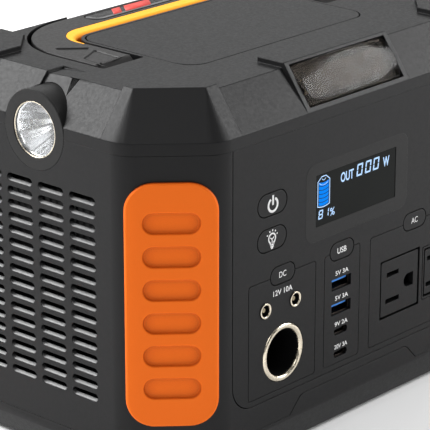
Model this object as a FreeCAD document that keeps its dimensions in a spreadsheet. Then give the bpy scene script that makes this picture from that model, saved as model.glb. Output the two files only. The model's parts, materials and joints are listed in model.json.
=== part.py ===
import FreeCAD, Part
import math
import os
import re
from types import SimpleNamespace

from FreeCAD import Placement, Rotation, Vector

# Portable power station with a folding carry handle.
# Frame: millimetres, +Z up, the control panel faces -Y, +X to the right when facing the panel.
# Origin: centre of the footprint, on the surface that the feet stand on.

DIMENSIONS = {
    # case
    "case_width": 239.0, "case_depth": 158.0, "corner_leg": 29.5, "corner_blend": 15.0, "wall": 3.0,
    "floor_z": 2.5, "skirt_inset": 5.0, "skirt_top": 15.4, "skirt_flare": 1.2,
    "cover_top": 17.0, "housing_bottom": 17.2, "housing_top": 148.3, "shell_bottom": 148.4,
    "chamfer_foot": 153.7, "deck_z": 171.0, "deck_inset": 15.0, "crown_z": 173.4, "crown_inset": 14.2,
    "boss_x": 96.5, "boss_y": 56.0, "boss_radius": 4.2, "screw_radius": 1.6, "screw_hole": 1.65,
    "foot_x": 78.0, "foot_y": 46.0, "foot_radius": 9.0, "foot_seat": 0.8,
    # corner guards
    "guard_width": 39.6, "guard_height": 109.2, "guard_radius": 12.5, "guard_z": 82.5, "guard_proud": 1.8,
    "dent_width": 24.5, "dent_height": 9.5, "dent_pitch": 14.8, "dent_depth": 1.4,
    # side louvres
    "slot_length": 15.2, "slot_height": 3.6, "slot_pitch_y": 18.8, "slot_pitch_z": 5.93,
    "slot_centre_y": 1.3, "slot_top_z": 125.1,
    # front panel and display
    "panel_half": 82.9, "panel_bottom": 29.5, "panel_radius": 13.0, "panel_thick": 3.0, "panel_gap": 0.35,
    "bezel_width": 70.0, "bezel_height": 35.0, "bezel_radius": 5.0, "bezel_x": -0.4, "bezel_z": 111.8,
    "window_width": 55.5, "window_height": 23.8, "window_radius": 0.5, "window_x": -1.3, "window_z": 112.4,
    # buttons
    "button_gap": 0.45, "button_length": 4.0,
    # sockets
    "car_x": -50.0, "car_z": 48.7, "car_bore": 10.65, "car_ring": 13.4, "car_depth": 37.5,
    "jack_z": 71.3, "jack_left": -61.8, "jack_right": -42.1, "jack_ring": 3.7, "jack_bore": 2.75,
    "usb_x": -10.6, "usb_a_width": 13.4, "usb_a_height": 5.3, "usb_a_depth": 14.0,
    "usb_c_width": 9.2, "usb_c_height": 3.3, "usb_c_depth": 8.0,
    "port_recess": 1.5,
    "outlet_first": 31.65, "outlet_pitch": 29.92, "outlet_z": 57.4, "outlet_depth": 22.0, "outlet_gap": 1.0,
    # side barrels for the flashlight and the charging input
    "barrel_radius": 17.6, "barrel_y": 0.9, "barrel_z": 149.4, "barrel_proud": 0.1, "barrel_length": 22.0,
    "lens_radius": 12.2,
    # area lamp in the front slope
    "lamp_width": 64.0, "lamp_length": 20.0, "lamp_up": 12.4, "lamp_depth": 6.5,
    # top centre panel
    "lid_width": 119.4, "lid_depth": 69.6, "lid_radius": 10.0, "lid_thick": 3.0, "lid_y": -0.2,
    # handle
    "arm_outer": 85.0, "arm_inner": 63.5, "arm_front": -5.4, "bar_rear": 61.5, "bar_inner": 46.0,
    "grip_inner": 38.5, "handle_bottom": 157.0, "pivot_y": 1.5, "pivot_z": 163.5, "pin_radius": 2.5,
    "pin_play": 0.05, "pocket_depth": 0.6, "channel_gap": 1.8, "channel_floor": 154.2,
    "channel_front": -8.4, "tub_wall": 2.4,
    # inside
    "cell_radius": 9.15, "cell_height": 65.0, "cell_pitch": 19.6, "cell_bottom": 10.0,
    "fan_x": 104.0, "fan_z": 80.0, "fan_size": 60.0, "fan_thick": 15.0,
}

doc = FreeCAD.newDocument("PowerStation")
sheet = doc.addObject("Spreadsheet::Sheet", "Sizes")
for row, (alias, value) in enumerate(DIMENSIONS.items(), start=1):
    sheet.set(f"A{row}", alias)
    sheet.set(f"B{row}", str(value))
    sheet.setAlias(f"B{row}", alias)
doc.recompute()

D = SimpleNamespace(**DIMENSIONS)
HALF_W = D.case_width / 2
HALF_D = D.case_depth / 2
ROOT2 = math.sqrt(2)

UP = Rotation()
FRONT = Rotation(Vector(1, 0, 0), 90)                 # sketch x, y -> world X, Z; normal towards -Y
RIGHT = Rotation(Vector(1, 1, 1), 120)                # sketch x, y -> world Y, Z; normal towards +X
LEFT = Rotation(Vector(0, 0, 1), 180) * RIGHT         # sketch x, y -> world -Y, Z; normal towards -X
SUBPARTS = []


# ---------------------------------------------------------------- helpers

def bind(thing, field, amount):
    """Set a size: text is an expression in the sheet's aliases, a number is a plain value."""
    if isinstance(amount, str):
        thing.setExpression(field, re.sub(r"[a-z][a-z_]+", r"Sizes.\g<0>", amount))
    else:
        setattr(thing, field, amount)


def place(thing, origin, turn=UP):
    thing.Placement = Placement(Vector(*origin), turn)
    return thing


def box(name, size, origin, turn=UP):
    solid = doc.addObject("Part::Box", name)
    for field, amount in zip(("Length", "Width", "Height"), size):
        bind(solid, field, amount)
    return place(solid, origin, turn)


def rod(name, radius, length, origin, axis=(0, 0, 1)):
    solid = doc.addObject("Part::Cylinder", name)
    bind(solid, "Radius", radius)
    bind(solid, "Height", length)
    return place(solid, origin, Rotation(Vector(0, 0, 1), Vector(*axis)))


def cone(name, radius, top_radius, length, origin, axis=(0, 0, 1)):
    solid = doc.addObject("Part::Cone", name)
    bind(solid, "Radius1", radius)
    bind(solid, "Radius2", top_radius)
    bind(solid, "Height", length)
    return place(solid, origin, Rotation(Vector(0, 0, 1), Vector(*axis)))


def cut(name, base, *tools):
    result = doc.addObject("Part::Cut", name)
    result.Base = base
    result.Tool = tools[0] if len(tools) == 1 else join(name + "_tools", *tools)
    return result


def join(name, *pieces):
    result = doc.addObject("Part::MultiFuse", name)
    result.Shapes = list(pieces)
    return result


def common(name, *pieces):
    result = doc.addObject("Part::MultiCommon", name)
    result.Shapes = list(pieces)
    return result


def group(name, *pieces):
    result = doc.addObject("Part::Compound", name)
    result.Links = list(pieces)
    return result


def rounded(points, radius):
    """Closed outline through the points, each corner rounded by its radius."""
    corners = [Vector(x, y, 0) for x, y in points]
    radii = radius if isinstance(radius, (list, tuple)) else [radius] * len(corners)
    arcs, ends = [], []
    for i, corner in enumerate(corners):
        before = (corners[i - 1] - corner).normalize()
        after = (corners[(i + 1) % len(corners)] - corner).normalize()
        half = before.getAngle(after) / 2
        reach = radii[i] / math.tan(half)
        start, end = corner + before * reach, corner + after * reach
        if radii[i] > 0:
            inward = (before + after).normalize()
            middle = corner + inward * (radii[i] / math.sin(half) - radii[i])
            arcs.append(Part.ArcOfCircle(start, middle, end))
        ends.append((start, end))
    lines = [Part.LineSegment(ends[i - 1][1], ends[i][0]) for i in range(len(ends))
             if ends[i - 1][1].distanceToPoint(ends[i][0]) > 1e-4]
    return arcs + lines


def rectangle(width, height, radius, x=0.0, y=0.0):
    a, b = width / 2, height / 2
    return rounded([(x - a, y - b), (x + a, y - b), (x + a, y + b), (x - a, y + b)], radius)


def obround(width, height, x=0.0, y=0.0):
    """A slot outline; its ends are a hair under full half circles."""
    return rectangle(width, height, height / 2 - 0.02, x, y)


def circle(radius, x=0.0, y=0.0):
    return [Part.Circle(Vector(x, y, 0), Vector(0, 0, 1), radius)]


def outline(name, loops, origin, turn=UP):
    profile = doc.addObject("Sketcher::SketchObject", name)
    for loop in loops:
        profile.addGeometry(loop, False)
    return place(profile, origin, turn)


def prism(name, loops, origin, turn, length):
    """Extrude closed outlines along their own normal; inner outlines are holes."""
    solid = doc.addObject("Part::Extrusion", name)
    solid.Base = outline(name + "_outline", loops, origin, turn)
    solid.DirMode = "Normal"
    solid.Solid = True
    solid.FaceMakerClass = "Part::FaceMakerBullseye"
    bind(solid, "LengthFwd", length)
    return solid


def loft(name, lower, lower_z, upper, upper_z):
    solid = doc.addObject("Part::Loft", name)
    solid.Sections = [outline(name + "_lower", [lower], (0, 0, lower_z)),
                      outline(name + "_upper", [upper], (0, 0, upper_z))]
    solid.Solid = True
    solid.Ruled = True
    return solid


def rounded_edges(name, base, radius, wanted):
    """Round the edges of a solid whose middle point passes the test."""
    doc.recompute()
    result = doc.addObject("Part::Fillet", name)
    result.Base = base
    result.Edges = [(i, radius, radius) for i, edge in enumerate(base.Shape.Edges, start=1)
                    if wanted(edge.CenterOfMass)]
    return result


def plate(name, width, height, radius, thickness, origin, turn):
    """PartDesign plate: a constrained rounded rectangle about its own origin, padded along its normal."""
    body = doc.addObject("PartDesign::Body", name)
    profile = body.newObject("Sketcher::SketchObject", name + "_profile")
    plane = next(f for f in body.Origin.OriginFeatures if f.Role == "XY_Plane")
    profile.AttachmentSupport = [(plane, "")]
    profile.MapMode = "FlatFace"
    w, h, r = (number(amount) for amount in (width, height, radius))
    a, b = w / 2, h / 2
    turns = [(a - r, b - r, 0), (-a + r, b - r, 90), (-a + r, -b + r, 180), (a - r, -b + r, 270)]
    for cx, cy, start in turns:
        arc = Part.ArcOfCircle(Part.Circle(Vector(cx, cy, 0), Vector(0, 0, 1), r),
                               math.radians(start), math.radians(start + 90))
        profile.addGeometry(arc, False)
    sides = [((a - r, b), (-a + r, b)), ((-a, b - r), (-a, -b + r)),
             ((-a + r, -b), (a - r, -b)), ((a, -b + r), (a, b - r))]
    for first, second in sides:
        profile.addGeometry(Part.LineSegment(Vector(*first, 0), Vector(*second, 0)), False)
    add = profile.addConstraint
    for i in range(4):
        add(Sketcher.Constraint("Tangent", i, 2, 4 + i, 1))
        add(Sketcher.Constraint("Tangent", 4 + i, 2, (i + 1) % 4, 1))
    for i in (4, 6):
        add(Sketcher.Constraint("Horizontal", i))
    for i in (5, 7):
        add(Sketcher.Constraint("Vertical", i))
    for i in (1, 2, 3):
        add(Sketcher.Constraint("Equal", 0, i))
    add(Sketcher.Constraint("Symmetric", 0, 3, 2, 3, -1, 1))
    driven = [("Radius", (0,), r, radius), ("DistanceX", (5, 1, 7, 2), w, width),
              ("DistanceY", (6, 1, 4, 2), h, height)]
    for kind, where, amount, source in driven:
        index = add(Sketcher.Constraint(kind, *where, amount))
        if isinstance(source, str):
            bind(profile, f"Constraints[{index}]", source)
    pad = body.newObject("PartDesign::Pad", name + "_pad")
    pad.Profile = profile
    bind(pad, "Length", thickness)
    profile.Visibility = False
    return place(body, origin, turn)


def number(amount):
    """The value of an expression in the sheet's aliases, or the number itself."""
    if isinstance(amount, str):
        doc.recompute()
        return float(sheet.evalExpression(re.sub(r"[a-z][a-z_]+", r"Sizes.\g<0>", amount)))
    return float(amount)


def finish(name, thing):
    """Name a finished sub-part and keep it for export."""
    thing.Label = name
    SUBPARTS.append(thing)
    return thing


# ---------------------------------------------------------------- shared outlines

def octagon(half_x, half_y, leg, blend):
    """Rectangle with 45 degree corner cuts and blended cut ends."""
    x, y = half_x, half_y
    return rounded([(-x + leg, -y), (x - leg, -y), (x, -y + leg), (x, y - leg),
                    (x - leg, y), (-x + leg, y), (-x, y - leg), (-x, -y + leg)], blend)


def case_outline(inset):
    leg = D.corner_leg - (2 - ROOT2) * inset
    return octagon(HALF_W - inset, HALF_D - inset, leg, max(D.corner_blend - inset, 0.6))


def handle_outline(gap, inner_y, front, inner_radius=13.0, outer_radius=40.0):
    """U shape of the folded handle, opened out all round by a gap."""
    outer, inner, rear = D.arm_outer + gap, D.arm_inner - gap, D.bar_rear + gap
    points = [(-outer, front), (-inner, front), (-inner, inner_y - gap), (inner, inner_y - gap),
              (inner, front), (outer, front), (outer, rear), (-outer, rear)]
    radii = [1, 1, inner_radius - gap, inner_radius - gap, 1, 1, outer_radius + gap, outer_radius + gap]
    return rounded(points, radii)


def mirrored(points):
    return [(-x, y) for x, y in reversed(points)]


def corners(x, y):
    return [(-x, -y), (x, -y), (x, y), (-x, y)]


# ---------------------------------------------------------------- case

def tongue_outline(gap):
    """Raised tongue of the bottom cover on the front face, opened out by a gap."""
    foot, shoulder, top = 45.0 + gap, 37.5 + gap * 0.7, 24.8 + gap
    points = [(-foot, 16.0), (foot, 16.0), (foot, 17.0 + gap * 0.5), (shoulder, top),
              (-shoulder, top), (-foot, 17.0 + gap * 0.5)]
    return rounded(points, [0, 0, 1.5 + gap, 6.0 + gap, 6.0 + gap, 1.5 + gap])


def bottom_cover():
    inset, flare = D.skirt_inset, D.skirt_flare
    foot = octagon(HALF_W - inset, HALF_D - inset, D.corner_leg - (2 - ROOT2) * inset, 10.0)
    waist = octagon(HALF_W + flare, HALF_D, D.corner_leg + flare / 2, D.corner_blend)
    skirt = loft("skirt", foot, D.floor_z, waist, D.skirt_top)
    rim = prism("cover_rim", [waist], (0, 0, D.skirt_top), UP, "cover_top - skirt_top")
    trim = prism("cover_trim", [case_outline(0)], (0, 0, D.floor_z), UP, "cover_top - floor_z")
    tongue = prism("cover_tongue", [tongue_outline(0)], (0, -HALF_D + D.wall, 0), FRONT, "wall")
    shape = common("cover_blank", join("cover_stack", skirt, rim), trim)
    hollow = join("cover_hollow",
                  prism("hollow_low", [case_outline(8)], (0, 0, 5.5), UP, 12.0),
                  prism("hollow_high", [case_outline(3)], (0, 0, 12.0), UP, 6.0))
    posts, drills = [], []
    for i, (x, y) in enumerate(corners(D.boss_x, D.boss_y)):
        posts.append(rod(f"cover_post_{i}", 5.0, "cover_top - floor_z - 1", (x, y, D.floor_z + 1)))
        drills.append(rod(f"cover_drill_{i}", "screw_hole", 20.0, (x, y, 0)))
        drills.append(rod(f"cover_sink_{i}", 3.3, 3.0, (x, y, D.floor_z - 0.2)))
    for i, (x, y) in enumerate(corners(D.foot_x, D.foot_y)):
        drills.append(rod(f"foot_seat_{i}", "foot_radius", "foot_seat", (x, y, D.floor_z)))
    tray = cut("cover_tray", shape, hollow)
    finish("bottom_cover", cut("bottom_cover", join("cover_body", tray, tongue, *posts), *drills))


def rubber_feet():
    feet = []
    for i, (x, y) in enumerate(corners(D.foot_x, D.foot_y)):
        tread = cone(f"foot_tread_{i}", 8.0, "foot_radius", 1.0, (x, y, 0))
        stem = rod(f"foot_stem_{i}", "foot_radius", "floor_z + foot_seat - 1", (x, y, 1.0))
        feet.append(join(f"foot_{i}", tread, stem))
    finish("rubber_feet", group("rubber_feet", *feet))


def case_screws():
    screws = []
    for i, (x, y) in enumerate(corners(D.boss_x, D.boss_y)):
        head = rod(f"screw_head_{i}", 3.0, 2.2, (x, y, D.floor_z + 0.6))
        socket = rod(f"screw_socket_{i}", 1.4, 1.3, (x, y, D.floor_z + 0.5))
        shank = rod(f"screw_shank_{i}", "screw_radius", 152.0, (x, y, D.floor_z + 2.8))
        screws.append(cut(f"screw_{i}", join(f"screw_body_{i}", head, shank), socket))
    finish("case_screws", group("case_screws", *screws))


def louvre_outlines():
    loops = []
    for column in range(4):
        for row in range(16):
            y = D.slot_centre_y + (column - 1.5) * D.slot_pitch_y
            loops.append((y, D.slot_top_z - row * D.slot_pitch_z))
    return loops


def main_housing():
    wall = prism("housing_wall", [case_outline(0), case_outline(D.wall)], (0, 0, D.housing_bottom), UP,
                 "housing_top - housing_bottom")
    posts, tools = [], []
    for i, (x, y) in enumerate(corners(D.boss_x, D.boss_y)):
        posts.append(rod(f"housing_post_{i}", "boss_radius", "housing_top - housing_bottom",
                         (x, y, D.housing_bottom)))
        outward = Rotation(Vector(0, 0, 1), math.degrees(math.atan2(y / abs(y), x / abs(x))))
        root = Vector(x, y, D.housing_bottom) + outward.multVec(Vector(2.5, -1.0, 0))
        posts.append(box(f"housing_rib_{i}", (8.0, 2.0, "housing_top - housing_bottom"), root, outward))
        tools.append(rod(f"housing_drill_{i}", "screw_hole", 160.0, (x, y, 0)))
    half, gap = D.panel_half + D.panel_gap, D.panel_gap
    opening = rounded([(-half, D.panel_bottom - gap), (half, D.panel_bottom - gap), (half, 160),
                       (-half, 160)],
                      [D.panel_radius, D.panel_radius, 0, 0])
    tools.append(prism("panel_opening", [opening], (0, -HALF_D + 4, 0), FRONT, 6.0))
    tools.append(prism("tongue_slot", [tongue_outline(0.25)], (0, -HALF_D + 3.2, 0), FRONT, 4.0))
    slots = [obround(D.slot_length, D.slot_height, y, z) for y, z in louvre_outlines()]
    tools.append(prism("louvres_right", slots, (HALF_W - 4, 0, 0), RIGHT, 6.0))
    slots = [obround(D.slot_length, D.slot_height, -y, z) for y, z in louvre_outlines()]
    tools.append(prism("louvres_left", slots, (-HALF_W + 4, 0, 0), LEFT, 6.0))
    for side in (-1, 1):
        tools.append(rod(f"barrel_hole_{side}", "barrel_radius + 0.1", 30.0,
                         (side * (HALF_W + 5), D.barrel_y, D.barrel_z), (-side, 0, 0)))
    finish("main_housing", cut("main_housing", join("housing_body", wall, *posts), *tools))


def corner_guards():
    ring = [case_outline(-D.guard_proud), case_outline(0)]
    names = [("front_left", -1, -1), ("front_right", 1, -1), ("rear_right", 1, 1), ("rear_left", -1, 1)]
    reach = (HALF_W + HALF_D - D.corner_leg) / ROOT2
    for name, sx, sy in names:
        skin = prism(f"guard_skin_{name}", ring, (0, 0, 20.0), UP, 125.0)
        turn = Rotation(Vector(0, 0, 1), math.degrees(math.atan2(sy, sx))) * RIGHT
        centre = Vector(sx, sy, 0).normalize() * (reach - 10)
        middle = Vector(sx * (HALF_W - D.corner_leg / 2), sy * (HALF_D - D.corner_leg / 2), 0)
        side = Vector(-sy, sx, 0).normalize()
        centre += side * (middle.dot(side))
        shield = prism(f"guard_outline_{name}",
                       [rectangle(D.guard_width, D.guard_height, D.guard_radius, 0, D.guard_z)],
                       centre, turn, 20.0)
        dents = [obround(D.dent_width, D.dent_height, 0, D.guard_z + (i - 2.5) * D.dent_pitch)
                 for i in range(6)]
        floor = centre + Vector(sx, sy, 0).normalize() * (10 + D.guard_proud - D.dent_depth)
        dent = prism(f"guard_dents_{name}", dents, floor, turn, 5.0)
        finish(f"corner_guard_{name}",
               cut(f"corner_guard_{name}", common(f"guard_blank_{name}", skin, shield), dent))


# ---------------------------------------------------------------- top shell

def crown_columns():
    """Plan areas where the shell stands 2.4 mm above its deck: four corners and the lamp block."""
    corner = [(90.6, 38.1), (130.0, 38.1), (130.0, 90.0), (77.0, 90.0), (77.0, 49.8), (78.0, 49.6)]
    quads = [corner, mirrored(corner)]
    quads += [[(x, -y) for x, y in reversed(q)] for q in quads]
    lamp = [(-35.0, -90.0), (35.0, -90.0), (35.0, -50.0), (-35.0, -50.0)]
    return [prism(f"crown_column_{i}", [rounded(points, 0)], (0, 0, 150.0), UP, 30.0)
            for i, points in enumerate(quads + [lamp])]


def slope_frame():
    """Origin at the foot of the front slope, and a turn whose sketch plane lies on it."""
    angle = math.degrees(math.atan2(D.crown_z - D.chamfer_foot, D.crown_inset))
    return Vector(0, -HALF_D, D.chamfer_foot), Rotation(Vector(1, 0, 0), angle)


def on_slope(x, up, out):
    origin, turn = slope_frame()
    return origin + turn.multVec(Vector(x, up, out))


def top_shell():
    band = prism("shell_band", [case_outline(0)], (0, 0, D.shell_bottom), UP, "chamfer_foot - shell_bottom")
    deck = loft("deck", case_outline(0), D.chamfer_foot, case_outline(D.deck_inset), D.deck_z)
    crown = loft("crown", case_outline(0), D.chamfer_foot, case_outline(D.crown_inset), D.crown_z)
    blocks = [common(f"crown_block_{i}", crown, column) for i, column in enumerate(crown_columns())]
    outer = join("shell_outer", band, deck, *blocks)
    hollow = join("shell_hollow",
                  prism("shell_hollow_low", [case_outline(D.wall)], (0, 0, D.shell_bottom - 1), UP, 5.4),
                  loft("shell_hollow_high", case_outline(D.wall), 153.0, case_outline(15.0), 165.5))
    keep = [prism("handle_tub", [handle_outline(D.channel_gap + D.tub_wall, D.grip_inner,
                                                D.channel_front - D.tub_wall)],
                  (0, 0, D.channel_floor - 2.4), UP, 30.0),
            box("lamp_backing", (74.0, 30.0, 12.0), on_slope(-37.0, -3.0, -12.0), slope_frame()[1])]
    for i, (x, y) in enumerate(corners(D.boss_x, D.boss_y)):
        keep.append(rod(f"shell_post_{i}", "boss_radius", 25.0, (x, y, D.shell_bottom)))
    hollow = cut("shell_cavity", hollow, *keep)
    tools = [hollow]
    tools.append(prism("handle_channel", [handle_outline(D.channel_gap, D.grip_inner, D.channel_front)],
                       (0, 0, D.channel_floor), UP, 30.0))
    tools.append(prism("lid_pocket", [rectangle(D.lid_width + 0.8, D.lid_depth + 0.8, D.lid_radius, 0, D.lid_y)],
                       (0, 0, D.deck_z - D.lid_thick), UP, 10.0))
    tools.append(prism("lid_window", [rectangle(D.lid_width - 12, D.lid_depth - 12, D.lid_radius - 4, 0, D.lid_y)],
                       (0, 0, 160.0), UP, 15.0))
    scoop = rounded([(60.5, 180), (60.5, 161.5), (70.0, 157.6), (90.0, 157.6), (90.0, 180)], 0)
    tools.append(prism("finger_scoop", [scoop], (-37.2, 0, 0), RIGHT, 74.4))
    tools.append(box("lamp_seat", ("lamp_width + 0.4", "lamp_length + 0.4", 20.0),
                     on_slope(-D.lamp_width / 2 - 0.2, D.lamp_up - D.lamp_length / 2 - 0.2, -D.lamp_depth),
                     slope_frame()[1]))
    for side in (-1, 1):
        tools.append(rod(f"barrel_slot_{side}", "barrel_radius + 0.1", 30.0,
                         (side * (HALF_W + 5), D.barrel_y, D.barrel_z), (-side, 0, 0)))
        tools.append(rod(f"pin_bore_{side}", "pin_radius", 32.0,
                         (side * 60.0, D.pivot_y, D.pivot_z), (side, 0, 0)))
    for i, (x, y) in enumerate(corners(D.boss_x, D.boss_y)):
        tools.append(rod(f"shell_drill_{i}", "screw_hole", 12.0, (x, y, D.shell_bottom - 1)))
    flat = Rotation(Vector(1, 0, 0), -4.6)
    tools.append(box("arrow_flat", (12.0, 15.1, 4.0), (-107.0, -7.6, D.deck_z), flat))
    rise = (D.deck_z - D.chamfer_foot) / D.deck_inset
    slope = Rotation(Vector(0, 1, 0), -math.degrees(math.atan(rise)))
    start = Vector(-HALF_W + 7.0, -7.6, D.chamfer_foot + 7.0 * rise)
    tools.append(box("arrow_slope", (12.0, 15.1, 4.0), start, slope * flat))
    finish("top_shell", cut("top_shell", outer, *tools))


def top_lid():
    finish("top_lid", plate("top_lid", "lid_width", "lid_depth", "lid_radius", "lid_thick",
                            (0, D.lid_y, D.deck_z - D.lid_thick), UP))


# ---------------------------------------------------------------- front panel

BUTTONS = {
    "power_button": (-57.85, 119.1, 18.5, 9.9),
    "light_button": (-58.0, 103.2, 18.5, 9.9),
    "dc_button": (-50.7, 85.4, 15.8, 8.0),
    "usb_button": (-10.6, 85.5, 16.1, 8.0),
    "ac_button": (41.5, 85.6, 16.3, 8.0),
}
USB_A = {"upper": 70.0, "lower": 58.2}
USB_C = {"upper": 47.3, "lower": 36.5}
OUTLETS = {"left": (26.9, 26.3), "right": (22.4, 21.8)}
GROUPS = [(-72.9, -28.5, 32.1, 85.2), (-22.5, 2.1, 32.1, 85.2), (9.4, 77.6, 32.1, 85.2)]


def front_panel():
    half = D.panel_half
    face = rounded([(-half, D.panel_bottom), (half, D.panel_bottom), (half, D.housing_top),
                    (-half, D.housing_top)], [D.panel_radius, D.panel_radius, 0, 0])
    plate_front = prism("panel_plate", [face], (0, -HALF_D + D.panel_thick, 0), FRONT, "panel_thick")
    flange = prism("panel_flange", [rectangle(2 * half + 3, 115.0, 14.0, 0, 87.0)],
                   (0, -HALF_D + D.panel_thick + 2, 0), FRONT, 2.0)
    through = [rectangle(D.bezel_width - 8, D.bezel_height - 6, 2.0, D.bezel_x, D.bezel_z),
               circle(D.car_ring - 1.2, D.car_x, D.car_z)]
    for x, z, width, height in BUTTONS.values():
        through.append(obround(width + 2 * D.button_gap, height + 2 * D.button_gap, x, z))
    for x in (D.jack_left, D.jack_right):
        through.append(circle(D.jack_ring + 0.05, x, D.jack_z))
    for z in USB_A.values():
        through.append(rectangle(D.usb_a_width + 0.1, D.usb_a_height + 0.1, 0.5, D.usb_x, z))
    for z in USB_C.values():
        through.append(obround(D.usb_c_width + 0.1, D.usb_c_height + 0.1, D.usb_x, z))
    for i, (width, height) in enumerate(OUTLETS.values()):
        through.append(rectangle(width + 2 * D.outlet_gap, height + 2 * D.outlet_gap, 0.6,
                                 D.outlet_first + i * D.outlet_pitch, D.outlet_z))
    holes = prism("panel_holes", through, (0, -HALF_D + 8, 0), FRONT, 12.0)
    seat = prism("bezel_seat", [rectangle(D.bezel_width + 0.2, D.bezel_height + 0.2, D.bezel_radius,
                                          D.bezel_x, D.bezel_z)], (0, -HALF_D + 1.6, 0), FRONT, 3.0)
    ring_seat = rod("ring_seat", "car_ring + 0.05", 3.0, (D.car_x, -HALF_D + 1.0, D.car_z), (0, -1, 0))
    grooves = []
    for i, (x0, x1, z0, z1) in enumerate(GROUPS):
        x, z, w, t = (x0 + x1) / 2, (z0 + z1) / 2, x1 - x0, z1 - z0
        grooves.append(prism(f"group_line_{i}", [rectangle(w + 0.3, t + 0.3, 1.6, x, z),
                                                 rectangle(w - 0.4, t - 0.4, 1.2, x, z)],
                             (0, -HALF_D + 0.5, 0), FRONT, 2.0))
    x, (width, height) = D.outlet_first + D.outlet_pitch, OUTLETS["left"]
    grooves.append(prism("outlet_line", [rectangle(width, height, 0.6, x, D.outlet_z),
                                         rectangle(width - 1.0, height - 1.0, 0.5, x, D.outlet_z)],
                         (0, -HALF_D + 0.5, 0), FRONT, 2.0))
    finish("front_panel", cut("front_panel", join("panel_body", plate_front, flange),
                              holes, seat, ring_seat, *grooves))


def display():
    frame = prism("bezel_plate", [rectangle(D.bezel_width, D.bezel_height, D.bezel_radius, D.bezel_x, D.bezel_z),
                                  rectangle(D.window_width + 0.1, D.window_height + 0.1, D.window_radius,
                                            D.window_x, D.window_z)],
                  (0, -HALF_D + 1.6, 0), FRONT, 1.6)
    finish("display_bezel", frame)
    finish("display_window", plate("display_window", "window_width", "window_height", "window_radius", 1.4,
                                   (D.window_x, -HALF_D + 1.6, D.window_z), FRONT))
    finish("display_module", box("display_module", (58.0, 6.0, 27.0),
                                 (D.bezel_x - 29.0, -HALF_D + 1.7, D.bezel_z - 13.5)))


def buttons():
    for name, (x, z, width, height) in BUTTONS.items():
        cap = prism(name + "_cap", [obround(width, height, x, z)],
                    (0, -HALF_D + D.button_length, 0), FRONT, "button_length")
        collar = prism(name + "_collar", [obround(width + 2.4, height + 2.4, x, z)],
                       (0, -HALF_D + D.panel_thick + 3.6, 0), FRONT, 1.2)
        bridge = prism(name + "_bridge", [obround(width, height, x, z)],
                       (0, -HALF_D + D.panel_thick + 3.6, 0), FRONT, 4.0)
        finish(name, join(name, cap, bridge, collar))


def car_socket():
    x, z = D.car_x, D.car_z
    ring = cut("car_ring_blank", rod("car_ring_disc", "car_ring", 1.5, (x, -HALF_D + 1.0, z), (0, -1, 0)),
               rod("car_ring_hole", "car_bore", 6.0, (x, -HALF_D + 3.0, z), (0, -1, 0)))
    finish("car_socket_ring", rounded_edges("car_socket_ring", ring, 0.6,
                                            lambda middle: middle.y < -HALF_D - 0.45))
    sleeve = rod("car_sleeve", "car_ring - 1.3", "car_depth", (x, -HALF_D + 1.0, z), (0, 1, 0))
    bore = rod("car_hollow", "car_bore", "car_depth - 3", (x, -HALF_D + 0.9, z), (0, 1, 0))
    drill = rod("car_contact_hole", 3.0, 6.0, (x, -HALF_D + D.car_depth - 2.1, z), (0, 1, 0))
    finish("car_socket_barrel", cut("car_socket_barrel", sleeve, bore, drill))
    finish("car_socket_contact", rod("car_socket_contact", 3.0, 8.0, (x, -HALF_D + D.car_depth - 2.0, z),
                                     (0, 1, 0)))


def round_outputs():
    pins = []
    for side, x in (("left", D.jack_left), ("right", D.jack_right)):
        body = rod(f"jack_body_{side}", "jack_ring", 14.0, (x, -HALF_D + 13.7, D.jack_z), (0, -1, 0))
        bore = rod(f"jack_hole_{side}", "jack_bore", 11.0, (x, -HALF_D + 10.5, D.jack_z), (0, -1, 0))
        finish(f"dc_jack_{side}", cut(f"dc_jack_{side}", body, bore))
        pins.append(rod(f"jack_pin_{side}", 1.05, 9.5, (x, -HALF_D + 10.5, D.jack_z), (0, -1, 0)))
    finish("dc_jack_pins", group("dc_jack_pins", *pins))


def usb_port(name, width, height, depth, z, outline_of, skin):
    shell = prism(name + "_shell", [outline_of(width, height, D.usb_x, z),
                                    outline_of(width - 2 * skin, height - 2 * skin, D.usb_x, z)],
                  (0, -HALF_D + depth, 0), FRONT, depth - D.port_recess)
    back = prism(name + "_back", [outline_of(width, height, D.usb_x, z)],
                 (0, -HALF_D + depth + 1, 0), FRONT, 1.0)
    finish(name, join(name, shell, back))


def usb_ports():
    a_tongues, c_tongues = [], []
    for level, z in USB_A.items():
        usb_port(f"usb_a_{level}", D.usb_a_width, D.usb_a_height, D.usb_a_depth, z,
                 lambda w, h, x, y: rectangle(w, h, 0.4, x, y), 0.4)
        a_tongues.append(box(f"usb_a_tongue_{level}_blank", (11.6, 11.8, 1.5),
                             (D.usb_x - 5.8, -HALF_D + 2.2, z + 0.5)))
    for level, z in USB_C.items():
        usb_port(f"usb_c_{level}", D.usb_c_width, D.usb_c_height, D.usb_c_depth, z, obround, 0.35)
        c_tongues.append(box(f"usb_c_tongue_{level}_blank", (6.6, 5.8, 0.7),
                             (D.usb_x - 3.3, -HALF_D + 2.2, z - 0.35)))
    finish("usb_a_tongues", group("usb_a_tongues", *a_tongues))
    finish("usb_c_tongues", group("usb_c_tongues", *c_tongues))


def ground_hole(x, z):
    """Earth pin hole: a flat right side and a round left side."""
    return rounded([(x - 3.4, z - 3.2), (x + 3.4, z - 3.2), (x + 3.4, z + 3.2), (x - 3.4, z + 3.2)],
                   [3.1, 0.3, 0.3, 3.1])


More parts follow.
